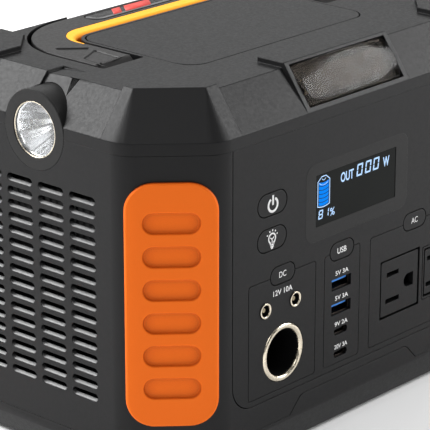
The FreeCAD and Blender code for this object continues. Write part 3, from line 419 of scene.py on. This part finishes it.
def grip():
    """Soft strip inside the handle: flat on top, a generous radius towards the palm."""
    low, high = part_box("handle_grip")
    z0, z1 = low.z, high.z - 0.02 * MM
    outer_half, inner_half = high.x - 0.02 * MM, 63.5 * MM
    tip, rear, front = low.y, high.y - 0.02 * MM, 38.5 * MM
    outer_r, inner_r = 16.0 * MM, 12.9 * MM
    stations = []
    line = rear - outer_r - tip
    length = line + outer_r * math.pi / 2
    for i in range(33):
        s = i / 32
        a = math.pi - s * math.pi / 2
        inner = Vector((-inner_half + inner_r + inner_r * math.cos(a),
                        front - inner_r + inner_r * math.sin(a), 0))
        way = s * length
        if way < line:
            outer = Vector((-outer_half, tip + way, 0))
        else:
            b = math.pi - (way - line) / outer_r
            outer = Vector((-outer_half + outer_r + outer_r * math.cos(b),
                            rear - outer_r + outer_r * math.sin(b), 0))
        stations.append((outer, inner))
    middle = [(Vector((x * MM, rear, 0)), Vector((x * MM, front, 0))) for x in range(-44, 0, 8)]
    left = stations + middle
    both = left + [(Vector((-o.x, o.y, 0)), Vector((-n.x, n.y, 0))) for o, n in reversed(left)]
    rows = []
    for outer, inner in both:
        width = (outer - inner).length
        across = (outer - inner) / width
        r = min(2.4 * MM, 0.5 * width)
        edge = min(0.25 * MM, 0.2 * width)
        row = [outer + Vector((0, 0, z0)), outer + Vector((0, 0, z1 - edge)),
               outer - across * edge * 0.3 + Vector((0, 0, z1 - edge * 0.3)),
               outer - across * edge + Vector((0, 0, z1))]
        for k in range(9):
            t = k / 8 * math.pi / 2
            row.append(inner + across * r * (1 - math.sin(t)) + Vector((0, 0, z1 - r * (1 - math.cos(t)))))
        row.append(inner + Vector((0, 0, z0)))
        rows.append(row)
    piece("grip_strip", rows_mesh("grip_strip", rows), "handle", "grip_orange", replaces=("handle_grip",))


grip()


# ---------------------------------------------------------------- turned parts

def turned(name, profile, centre, axis, steps=96, scallop=None):
    """Revolve (radius, distance along the axis) points about the axis through the centre.

    scallop scales the radius by the angle, for flutes.
    """
    axis = Vector(axis).normalized()
    side = axis.orthogonal().normalized()
    up = axis.cross(side)
    rows = []
    for i in range(steps):
        a = 2 * math.pi * i / steps
        out = side * math.cos(a) + up * math.sin(a)
        k = scallop(a) if scallop else 1.0
        rows.append([Vector(centre) + out * r * k * MM + axis * d * MM for r, d in profile])
    return rows_mesh(name, rows, closed=True)


def ring_profile(outer, inner, front, depth, bulge):
    """Rolled ring: a rounded crown from the outer to the inner radius, then straight walls."""
    mid, half = (outer + inner) / 2, (outer - inner) / 2
    crown = [(mid + half * math.cos(t), front - bulge + bulge * math.sin(t))
             for t in (math.pi * k / 12 for k in range(13))]
    return crown + [(inner, front - depth), (outer, front - depth)]


def sockets():
    low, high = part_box("car_socket_ring")
    centre = ((low.x + high.x) / 2, low.y, (low.z + high.z) / 2)
    ring = turned("socket_ring", ring_profile(13.35, 10.68, 0.0, 1.48, 1.15), centre, (0, -1, 0))
    piece("socket_ring", ring, "case", "chrome_ring", replaces=("car_socket_ring",))
    for side in ("left", "right"):
        low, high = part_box("dc_jack_" + side)
        centre = ((low.x + high.x) / 2, low.y - 0.1 * MM, (low.z + high.z) / 2)
        name, profile = "jack_rim_" + side, ring_profile(3.66, 2.55, 0.0, 0.6, 0.45)
        piece(name, turned(name, profile, centre, (0, -1, 0), steps=48), "case", "chrome_ring")


def flashlight():
    low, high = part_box("flashlight_bezel")
    y, z, face = (low.y + high.y) / 2, (low.z + high.z) / 2, low.x
    for node, sign, bore in (("flashlight_bezel", -1, 12.5), ("input_bezel", 1, 6.3)):
        low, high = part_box(node)
        edge = (low.x if sign < 0 else high.x, y, z)
        profile = [(bore, -6.0), (bore, -0.25), (bore + 0.2, -0.02), (17.35, 0.0), (17.62, -0.08),
                   (17.78, -0.5), (17.78, -1.2), (17.6, -1.3), (17.6, -21.8), (bore, -21.9)]
        collar = turned(node + "_collar", profile, edge, (sign, 0, 0))
        piece(node + "_collar", collar, "case", SLOT_OF[node], replaces=(node,))
    profile, centre = ring_profile(12.48, 11.95, 0.0, 0.5, 0.25), (face + 0.35 * MM, y, z)
    piece("flashlight_rim", turned("flashlight_rim", profile, centre, (-1, 0, 0)), "case", "chrome_ring")
    low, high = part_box("flashlight_reflector")
    depth = (high.x - low.x) / MM
    wide, narrow = 11.7, 3.3
    bowl = []
    for k in range(19):
        r = wide + (narrow - wide) * k / 18
        bowl.append((r, -(1 - (r * r - narrow ** 2) / (wide ** 2 - narrow ** 2)) * (depth - 0.4) - 0.2))
    back = [(r + 0.35, d - 0.1) for r, d in reversed(bowl)]
    flutes = 14
    mesh = turned("reflector_bowl", bowl + back, (low.x, y, z), (-1, 0, 0), steps=flutes * 6,
                  scallop=lambda a: 1.0 + 0.02 * abs(math.sin(a * flutes / 2)))
    piece("reflector_bowl", mesh, "case", "reflector", replaces=("flashlight_reflector",), weighted=False)


def lamp_point(x, along, out):
    """Point at x, a distance up the lamp's slope and a distance out of it, in mm."""
    foot, up, away = slope_axes()
    return foot + Vector((x * MM, 0, 0)) + up * along * MM + away * out * MM


def area_lamp():
    """Domed lens with rolled edges, and the frosted plate under it."""
    half_x, half_y, middle = 31.95, 9.95, 12.4
    corner, fullness, dome, edge, underside = -0.9, 2.3, 0.68, 1.1, -2.48
    steps = [0.0, 0.08, 0.25, 0.5, 0.85, 1.3, 2.0]

    def spread(half, inner):
        left = [-half + s for s in steps]
        body = [-half + 2.0 + (2 * half - 4.0) * k / inner for k in range(1, inner)]
        return left + body + [-v for v in reversed(left)]

    def crown(x, y):
        u, v = x / half_x, y / half_y
        top = corner + fullness * (1 - u * u * v * v) + dome * (1 - u * u) * (1 - v * v)
        dx, dy = half_x - abs(x), half_y - abs(y)
        d = edge - math.hypot(max(edge - dx, 0), max(edge - dy, 0))
        return top - edge + math.sqrt(max(edge ** 2 - (edge - max(d, 0)) ** 2, 0))

    xs, ys = spread(half_x, 40), spread(half_y, 14)
    bm = bmesh.new()
    top = [[bm.verts.new(lamp_point(x, middle + y, crown(x, y))) for y in ys] for x in xs]
    base = [[bm.verts.new(lamp_point(x, middle + y, underside)) for y in ys] for x in xs]
    for i in range(len(xs) - 1):
        for k in range(len(ys) - 1):
            bm.faces.new((top[i][k], top[i + 1][k], top[i + 1][k + 1], top[i][k + 1]))
            bm.faces.new((base[i][k], base[i][k + 1], base[i + 1][k + 1], base[i + 1][k]))
    for i in range(len(xs) - 1):
        for k in (0, len(ys) - 1):
            bm.faces.new((top[i][k], top[i + 1][k], base[i + 1][k], base[i][k]))
    for k in range(len(ys) - 1):
        for i in (0, len(xs) - 1):
            bm.faces.new((top[i][k], top[i][k + 1], base[i][k + 1], base[i][k]))
    piece("lamp_cover", fresh_mesh("lamp_cover", bm), "case", "lens_smoke", replaces=("lamp_lens",))
    plate = flat_plate("lamp_diffuser", rounded_rect(54.0, 12.6, 4.0), 0.3,
                       lambda p, d: lamp_point(p.x, middle + p.y, -3.0 + d))
    piece("lamp_diffuser", plate, "case", "diffuser")


def rounded_rect(width, height, radius, steps=8, cx=0.0, cy=0.0):
    """Outline of a rectangle with round corners."""
    a, b = width / 2 - radius, height / 2 - radius
    points = []
    for k, (sx, sy) in enumerate(((1, 1), (-1, 1), (-1, -1), (1, -1))):
        for i in range(steps + 1):
            t = math.pi / 2 * (k + i / steps)
            points.append(Vector((cx + sx * a + radius * math.cos(t), cy + sy * b + radius * math.sin(t), 0)))
    return points


def flat_plate(name, outline, thickness, to_world):
    """Thin plate from a 2-D outline."""
    bm = bmesh.new()
    front = [bm.verts.new(to_world(p, thickness)) for p in outline]
    back = [bm.verts.new(to_world(p, 0.0)) for p in outline]
    bm.faces.new(front)
    bm.faces.new(back[::-1])
    for i in range(len(outline)):
        k = (i + 1) % len(outline)
        bm.faces.new((front[k], front[i], back[i], back[k]))
    return fresh_mesh(name, bm)


def obround_line(half, radius, cy=0.0, steps=12):
    """Outline of a slot lying along x."""
    right = [Vector((half + radius * math.cos(t), cy + radius * math.sin(t), 0))
             for t in (math.pi * (k / steps - 0.5) for k in range(steps + 1))]
    left = [Vector((-p.x, 2 * cy - p.y, 0)) for p in right]
    return right + left


def ring_walls(bm, loops):
    """Join outlines, given as lists of vertices, into bands of quads."""
    for a, b in zip(loops, loops[1:]):
        join(bm, a, b)


def guard(name, sx, sy):
    """Soft corner guard: rolled rim, six finger dents with soft lips, wrapped round the corner."""
    width, height, corner, mid_z = 39.5, 109.1, 12.5, 82.5
    flat, wrap, proud = 14.65, 16.8, 1.77
    dents, pitch, dent_half, dent_radius, depth = 6, 14.8, 7.5, 4.75, 1.45
    rim, lip_r, lip_drop, foot_r, fillet = 1.0, 0.55, 0.3, 1.0, 0.8
    normal, side = Vector((sx, sy, 0)).normalized(), Vector((-sy, sx, 0)).normalized()
    middle = Vector((sx * (HALF_WIDTH - CORNER_LEG / 2), sy * (HALF_DEPTH - CORNER_LEG / 2), 0))
    bm = bmesh.new()

    def loop(points, out):
        return [bm.verts.new((p.x, p.y, out)) for p in points]

    def quarter(steps):
        return [math.pi / 2 * k / steps for k in range(steps + 1)]

    rolled = [(0.0, -proud - 0.1)] + [(rim - rim * math.cos(t), -rim + rim * math.sin(t)) for t in quarter(6)]
    outer = [loop(rounded_rect(width - 2 * d, height - 2 * d, corner - d, 10, 0, mid_z), n)
             for d, n in rolled]
    ring_walls(bm, outer)
    edges = []
    holes = [outer[-1]]
    lip = [(lip_r - lip_r * math.sin(t), -lip_drop + lip_drop * math.cos(t)) for t in quarter(4)]
    foot = [(-0.25 - foot_r * (1 - math.cos(t)), -depth + fillet * (1 - math.sin(t))) for t in quarter(6)]
    for i in range(dents):
        cy = mid_z + (i - (dents - 1) / 2) * pitch
        rings = [loop(obround_line(dent_half, dent_radius + d, cy), n) for d, n in lip + foot]
        ring_walls(bm, rings)
        bm.faces.new(rings[-1])
        holes.append(rings[0])
    for ring in holes:
        for i in range(len(ring)):
            edges.append(bm.edges.get((ring[i], ring[(i + 1) % len(ring)])))
    bmesh.ops.triangle_fill(bm, use_beauty=True, use_dissolve=False, edges=edges)
    for cut in range(4):
        for sign in (-1, 1):
            geometry = bm.verts[:] + bm.edges[:] + bm.faces[:]
            where = (sign * (flat + 1.3 * cut), 0, 0)
            bmesh.ops.bisect_plane(bm, geom=geometry, plane_co=where, plane_no=(1, 0, 0))
    for v in bm.verts:
        u, z, n = v.co
        over = max(abs(u) - flat, 0.0)
        drop = wrap - math.sqrt(wrap ** 2 - over ** 2)
        v.co = (middle + side * u + normal * (proud + n - drop) + Vector((0, 0, z))) * MM
    node = "corner_guard_" + name
    piece("guard_pad_" + name, fresh_mesh("guard_pad_" + name, bm), "case", "guard_orange", replaces=(node,))


def display_frame():
    """Film frame over the display window."""
    low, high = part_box("display_bezel")
    win_low, win_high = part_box("display_window")
    bm = bmesh.new()

    def loop(a, b, grow, radius, out):
        cx, cz = (a.x + b.x) / 2 / MM, (a.z + b.z) / 2 / MM
        outline = rounded_rect((b.x - a.x) / MM + 2 * grow, (b.z - a.z) / MM + 2 * grow, radius, 8, cx, cz)
        return [bm.verts.new((p.x * MM, low.y - out * MM, p.y * MM)) for p in outline]

    loops = [loop(low, high, 0.38, 5.4, -0.4), loop(low, high, 0.38, 5.4, 0.0),
             loop(low, high, 0.28, 5.3, 0.06), loop(win_low, win_high, 0.1, 0.6, 0.06),
             loop(win_low, win_high, 0.0, 0.5, 0.0), loop(win_low, win_high, 0.0, 0.5, -1.2)]
    ring_walls(bm, loops)
    piece("display_frame", fresh_mesh("display_frame", bm), "case", "bezel_black",
          replaces=("display_bezel",))


def inlay():
    """Domed gloss inlay of the handle with a plain red accent."""
    low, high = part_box("handle_inlay")
    cx, cy = (low.x + high.x) / 2 / MM, (low.y + high.y) / 2 / MM
    wide, tall = (high.x - low.x) / MM, (high.y - low.y) / MM
    bm = bmesh.new()
    profile = [(0.0, -0.9)] + [(2.4 * (1 - math.cos(t)), -0.55 + 0.55 * math.sin(t))
                               for t in (math.pi / 2 * k / 8 for k in range(9))]
    loops = [[bm.verts.new((p.x * MM, p.y * MM, high.z + n * MM)) for p in
              rounded_rect(wide - 2 * d, tall - 2 * d, tall / 2 - 0.05 - d, 10, cx, cy)] for d, n in profile]
    ring_walls(bm, loops)
    bm.faces.new(loops[-1])
    piece("inlay_dome", fresh_mesh("inlay_dome", bm), "handle", "gloss_black", replaces=("handle_inlay",))
    bars = [[Vector((x0 + lean, y1, 0)), Vector((x1 + lean, y1, 0)), Vector((x1, y0, 0)), Vector((x0, y0, 0))]
            for x0, x1, y0, y1, lean in ((-20.0, -14.5, 50.4, 57.9, 6.0), (-12.0, 5.0, 50.4, 57.9, 6.0))]
    mark("inlay_accent", bars, "handle", "accent_red",
         to_world=lambda p, d: Vector((p.x * MM, p.y * MM, high.z + d * MM)))


sockets()
flashlight()
area_lamp()
display_frame()
for corner, sx, sy in (("front_left", -1, -1), ("front_right", 1, -1),
                       ("rear_right", 1, 1), ("rear_left", -1, 1)):
    guard(corner, sx, sy)


# ---------------------------------------------------------------- printed marks and display

def on_front(proud=0.0):
    """A map from panel coordinates (x, z) in mm and a height in mm to the front face."""
    return lambda p, d: Vector((p.x * MM, FRONT_Y * MM - (proud + d) * MM, p.y * MM))


def ribbon(points, width, closed=False):
    """Quads along a 2-D line of constant width, with mitred corners."""
    n = len(points)
    sides = []
    for i, p in enumerate(points):
        before = points[i - 1] if i > 0 or closed else None
        after = points[(i + 1) % n] if i < n - 1 or closed else None
        a = (p - before).normalized() if before is not None else (after - p).normalized()
        b = (after - p).normalized() if after is not None else a
        tangent = (a + b).normalized()
        normal = Vector((-tangent.y, tangent.x, 0))
        reach = width / 2 / max(normal.dot(Vector((-a.y, a.x, 0))), 0.5)
        sides.append((p + normal * reach, p - normal * reach))
    count = n if closed else n - 1
    return [[sides[i][0], sides[i][1], sides[(i + 1) % n][1], sides[(i + 1) % n][0]] for i in range(count)]


def arc(cx, cy, radius, start, end, steps=28):
    """Points along a circle between two angles in degrees."""
    return [Vector((cx + radius * math.cos(math.radians(start + (end - start) * i / steps)),
                    cy + radius * math.sin(math.radians(start + (end - start) * i / steps)), 0))
            for i in range(steps + 1)]


def bar(x0, x1, z0, z1):
    return [Vector((x0, z0, 0)), Vector((x1, z0, 0)), Vector((x1, z1, 0)), Vector((x0, z1, 0))]


def mark(name, shapes, body, material, to_world=None):
    """Print flat shapes as a thin layer of ink, on the front face unless a map is given."""
    to_world = to_world or on_front()
    bm = bmesh.new()
    for shape in shapes:
        top = [bm.verts.new(to_world(p, PRINT)) for p in shape]
        low = [bm.verts.new(to_world(p, 0.0)) for p in shape]
        bm.faces.new(top)
        for i in range(len(shape)):
            k = (i + 1) % len(shape)
            bm.faces.new((top[i], low[i], low[k], top[k]))
    return piece(name, fresh_mesh(name, bm), body, material, weighted=False)


def lettering(name, text, x, z, width, height, body, material="label_white", proud=0.0, weight=0.0):
    """Generic lettering centred on (x, z), scaled to a width and height in mm."""
    curve = bpy.data.curves.new(name + "_text", "FONT")
    curve.body = text
    curve.align_x = "CENTER"
    curve.resolution_u = 6
    curve.offset = weight
    curve.extrude = 0.5
    source = bpy.data.objects.new(name + "_text", curve)
    mesh = bpy.data.meshes.new_from_object(source)
    bpy.data.objects.remove(source)
    xs = [v.co.x for v in mesh.vertices]
    ys = [v.co.y for v in mesh.vertices]
    kx, ky = width / (max(xs) - min(xs)), height / (max(ys) - min(ys))
    mx, my = (max(xs) + min(xs)) / 2, (max(ys) + min(ys)) / 2
    to_world = on_front(proud)
    for v in mesh.vertices:
        flat = Vector((x + (v.co.x - mx) * kx, z + (v.co.y - my) * ky, 0))
        v.co = to_world(flat, PRINT if v.co.z > 0 else 0.0)
    mesh.name = name
    return piece(name, mesh, body, material, weighted=False)


def labels():
    lettering("label_dc", "DC", -50.7, 85.4, 4.6, 2.7, "dc_key")
    lettering("label_usb", "USB", -10.6, 85.5, 6.3, 2.7, "usb_key", weight=0.01)
    lettering("label_ac", "AC", 41.5, 85.6, 4.6, 2.7, "ac_key")
    lettering("label_input", "12V 10A", -50.5, 77.6, 12.6, 2.5, "case", weight=0.008)
    for i, (text, z) in enumerate((("5V 3A", 75.2), ("5V 3A", 63.4), ("9V 2A", 50.9), ("20V 3A", 40.0))):
        lettering(f"label_port_{i}", text, -10.3, z, 9.0, 2.1, "case", weight=0.012)


def icons():
    x, z = -57.5, 118.5
    ring = ribbon(arc(x, z, 2.95, 118, 422), 1.1)
    stem = bar(x - 0.55, x + 0.55, z - 0.1, z + 4.3)
    mark("icon_power", ring + [stem], "power_key", "label_white")
    x, z = -57.9, 103.5
    bulb = [Vector((x - 1.0, z - 2.9, 0))] + arc(x, z, 2.2, 235, -55) + [Vector((x + 1.0, z - 2.9, 0))]
    shapes = ribbon(bulb, 0.75)
    for dz, half in ((-3.2, 1.25), (-4.0, 1.05), (-4.7, 0.7)):
        shapes.append(bar(x - half, x + half, z + dz, z + dz + 0.62))
    filament = [Vector((x - 1.2, z + 0.5, 0)), Vector((x, z - 0.5, 0)), Vector((x + 1.2, z + 0.5, 0))]
    shapes += ribbon(filament, 0.5)
    shapes += ribbon([Vector((x, z - 0.5, 0)), Vector((x, z - 2.6, 0))], 0.5)
    for a in (25, 55, 85, 115, 148):
        way = Vector((math.cos(math.radians(a)), math.sin(math.radians(a)), 0))
        shapes += ribbon([Vector((x, z, 0)) + way * 3.2, Vector((x, z, 0)) + way * 4.0], 0.6)
    mark("icon_lamp", shapes, "light_key", "label_white")


SEGMENTS = {"0": "abcdef", "1": "bc", "8": "abcdefg"}


def digit(text, x, z, width, height, thick=0.75, slant=0.12):
    """Seven-segment digit with mitred bars, as shapes."""
    def lean(px, pz):
        return Vector((x + px + (pz - height / 2) * slant, z + pz, 0))

    t, w, h, g = thick, width, height, 0.12
    bars = {
        "a": [(g, h), (w - g, h), (w - t, h - t), (t, h - t)],
        "d": [(t, t), (w - t, t), (w - g, 0), (g, 0)],
        "g": [(t * 0.6, h / 2), (t, h / 2 + t / 2), (w - t, h / 2 + t / 2), (w - t * 0.6, h / 2),
              (w - t, h / 2 - t / 2), (t, h / 2 - t / 2)],
        "f": [(0, h - g), (t, h - t - g), (t, h / 2 + g * 2), (0, h / 2 + g)],
        "e": [(0, h / 2 - g), (t, h / 2 - g * 2), (t, t + g), (0, g)],
        "b": [(w, h - g), (w, h / 2 + g), (w - t, h / 2 + g * 2), (w - t, h - t - g)],
        "c": [(w, h / 2 - g), (w, g), (w - t, t + g), (w - t, h / 2 - g * 2)],
    }
    return [[lean(*p) for p in bars[s]] for s in SEGMENTS[text]]


def read_out():
    lettering("display_out", "OUT", -7.6, 119.1, 8.9, 4.5, "case", "lit_white", SUNK, 0.02)
    lettering("display_watt", "W", 19.7, 119.0, 4.5, 4.6, "case", "lit_white", SUNK, 0.025)
    lettering("display_percent", "%", -17.5, 105.1, 3.2, 3.6, "case", "lit_white", SUNK, 0.01)
    digits = []
    for x in (-0.9, 5.0, 10.6):
        digits += digit("0", x, 116.9, 4.0, 5.6, thick=0.8)
    digits += digit("8", -26.9, 103.6, 2.9, 4.1, thick=0.6) + digit("1", -22.9, 103.6, 2.9, 4.1, thick=0.6)
    mark("display_digits", digits, "case", "lit_white", on_front(SUNK))
    cx, half, low, high = -23.6, 4.0, 109.6, 120.9
    case = [Vector((cx - half, low, 0)), Vector((cx - half, high, 0)), Vector((cx - 1.4, high + 2.0, 0)),
            Vector((cx + 1.4, high + 2.0, 0)), Vector((cx + half, high, 0)), Vector((cx + half, low, 0))]
    case += arc(cx, low + 11.31, 12.0, -71.5, -108.5, 10)
    frame_lines = ribbon(case, 0.42, closed=True)
    frame_lines += ribbon(arc(cx, high + 2.2, 4.2, 222, 318, 12), 0.35)
    frame_lines += ribbon(arc(cx, high + 1.5, 1.3, 200, 340, 10), 0.3)
    mark("battery_outline", frame_lines, "case", "lit_white", on_front(SUNK))
    fills = []
    rows, bottom, top, gap, sag = 6, low - 0.2, high - 0.6, 0.3, 0.63
    across = (-1, -0.6, -0.2, 0.2, 0.6, 1)
    for i in range(rows):
        a, b = bottom + (top - bottom) * i / rows, bottom + (top - bottom) * (i + 1) / rows - gap
        lower = [Vector((cx + half * 0.82 * u, a + sag * u * u, 0)) for u in across]
        upper = [Vector((cx + half * 0.82 * u, b + sag * u * u, 0)) for u in reversed(across)]
        fills.append(lower + upper)
    mark("battery_level", fills, "case", "lit_blue", on_front(SUNK))


labels()
icons()
read_out()
inlay()


# ---------------------------------------------------------------- inner screens

def louvre_sills():
    """Sloped sills along the lower half of every louvre slot, on both sides, coloured grey as painted light
    on their lit faces.
    """
    columns, slots, pitch_y, pitch_z, top, middle = 4, 16, 18.8, 5.93, 125.1, 1.3
    half, radius, rise, front, ridge, back = 5.8, 1.8, 1.05, 0.12, 1.5, 2.8
    ends = [(end, math.pi * (start + k / 10)) for end, start in ((-half, 1.0), (half, 1.5)) for k in range(6)]
    for name, sx in (("left", -1), ("right", 1)):
        low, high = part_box("main_housing")
        face = (low.x if sx < 0 else high.x) / MM
        bm = bmesh.new()
        for column in range(columns):
            for slot in range(slots):
                cy, cz = middle + (column - (columns - 1) / 2) * pitch_y, top - slot * pitch_z
                rows = []
                for end, t in ends:
                    lift = rise * abs(math.sin(t)) ** 0.7 + 0.01
                    y, z = cy + end + radius * math.cos(t), cz + radius * math.sin(t)
                    rows.append([Vector((face - sx * d, y, z + up)) * MM
                                 for d, up in ((front, 0), (ridge, lift), (back, 0))])
                skin_rows(bm, rows)
        piece("louvre_sills_" + name, fresh_mesh("louvre_sills_" + name, bm), "case", "sill_painted_light")


def shade_screen():
    """Dark pleated sheet behind the louvres on the side without the fan: painted shade that hides the inside.
    """
    low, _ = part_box("main_housing")
    bm = bmesh.new()
    pleats, start, width, bottom, top, thick = 40, -38.0, 79.0, 28 * MM, 132 * MM, 0.3 * MM
    columns = []
    for i in range(pleats + 1):
        y = (start + width * i / pleats) * MM
        x = low.x + (4.2 if i % 2 else 4.9) * MM
        corners = ((x, bottom), (x, top), (x + thick, top), (x + thick, bottom))
        columns.append([bm.verts.new((a, y, b)) for a, b in corners])
    ring_walls(bm, columns)
    bm.faces.new(columns[0])
    bm.faces.new(columns[-1][::-1])
    piece("shade_screen", fresh_mesh("shade_screen", bm), "case", "inner_black", weighted=False)


louvre_sills()
shade_screen()

for name, node in NODES.items():
    if not node.hide_render:
        node.data.materials.clear()
        node.data.materials.append(MATERIALS[SLOT_OF[name]])


# ---------------------------------------------------------------- set, light and camera

LIGHTS = (
    # name, position, target, size in m, power in W
    ("top_box", (0.4, 0.3, 1.9), (0, 0, 0.1), (1.4, 1.4), 9.0),
    ("left_box", (-0.86, 1.26, 1.30), (-0.1, 0.05, 0.1), (1.4, 1.1), 72.0),
    ("front_box", (1.45, -1.05, 1.0), (0.1, -0.1, 0.08), (1.2, 0.9), 36.0),
    ("back_card", (1.5, 1.35, 1.1), (0, 0, 0.15), (1.6, 0.7), 7.0),
    ("fill_box", (-0.95, -0.9, 1.25), (-0.1, -0.07, 0.08), (0.9, 0.7), 7.0),
)
SKY = 0.12
FLOOR_HALF, FLOOR_GLOW = 6, 0.05

# The camera looks down on the front left corner through a long lens
CAMERA_PLACE = (-0.81625, -0.73014, 0.46719)
CAMERA_YAW, CAMERA_PITCH = 47.958, 19.465
SENSOR_WIDTH, FOCAL_LENGTH = 36.0, 209.4614


def area(name, position, target, size, energy):
    """Rectangular soft light aimed at a target."""
    data = bpy.data.lights.new(name, "AREA")
    data.shape = "RECTANGLE"
    data.size, data.size_y = size
    data.energy = energy
    lamp = bpy.data.objects.new(name, data)
    bpy.context.scene.collection.objects.link(lamp)
    lamp.location = position
    lamp.rotation_euler = (Vector(target) - Vector(position)).to_track_quat("-Z", "Y").to_euler()


def studio():
    floor = bpy.data.meshes.new("floor")
    h = FLOOR_HALF
    floor.from_pydata([(-h, -h, 0), (h, -h, 0), (h, h, 0), (-h, h, 0)], [], [(0, 1, 2, 3)])
    ground = bpy.data.objects.new("floor", floor)
    bpy.context.scene.collection.objects.link(ground)
    g = Graph("floor_white")
    g.surface(Base_Color=g.blend(g.noise(3.0), linear(242, 242, 242), linear(246, 246, 246)), Roughness=0.8,
              Emission_Color=(1.0, 1.0, 1.0, 1.0), Emission_Strength=FLOOR_GLOW)
    floor.materials.append(g.material)
    for light in LIGHTS:
        area(*light)
    world = bpy.data.worlds.new("studio")
    bpy.context.scene.world = world
    world.use_nodes = True
    background = world.node_tree.nodes["Background"]
    background.inputs["Color"].default_value = (1, 1, 1, 1)
    background.inputs["Strength"].default_value = SKY


def camera():
    yaw, pitch = math.radians(CAMERA_YAW), math.radians(CAMERA_PITCH)
    data = bpy.data.cameras.new("camera")
    data.sensor_width = SENSOR_WIDTH
    data.lens = FOCAL_LENGTH
    data.clip_start, data.clip_end = 0.05, 50.0
    cam = bpy.data.objects.new("camera", data)
    bpy.context.scene.collection.objects.link(cam)
    cam.location = CAMERA_PLACE
    ahead = Vector((math.sin(yaw) * math.cos(pitch), math.cos(yaw) * math.cos(pitch), -math.sin(pitch)))
    cam.rotation_euler = ahead.to_track_quat("-Z", "Y").to_euler()
    bpy.context.scene.camera = cam


studio()
camera()
bpy.context.scene.view_settings.view_transform = "Standard"
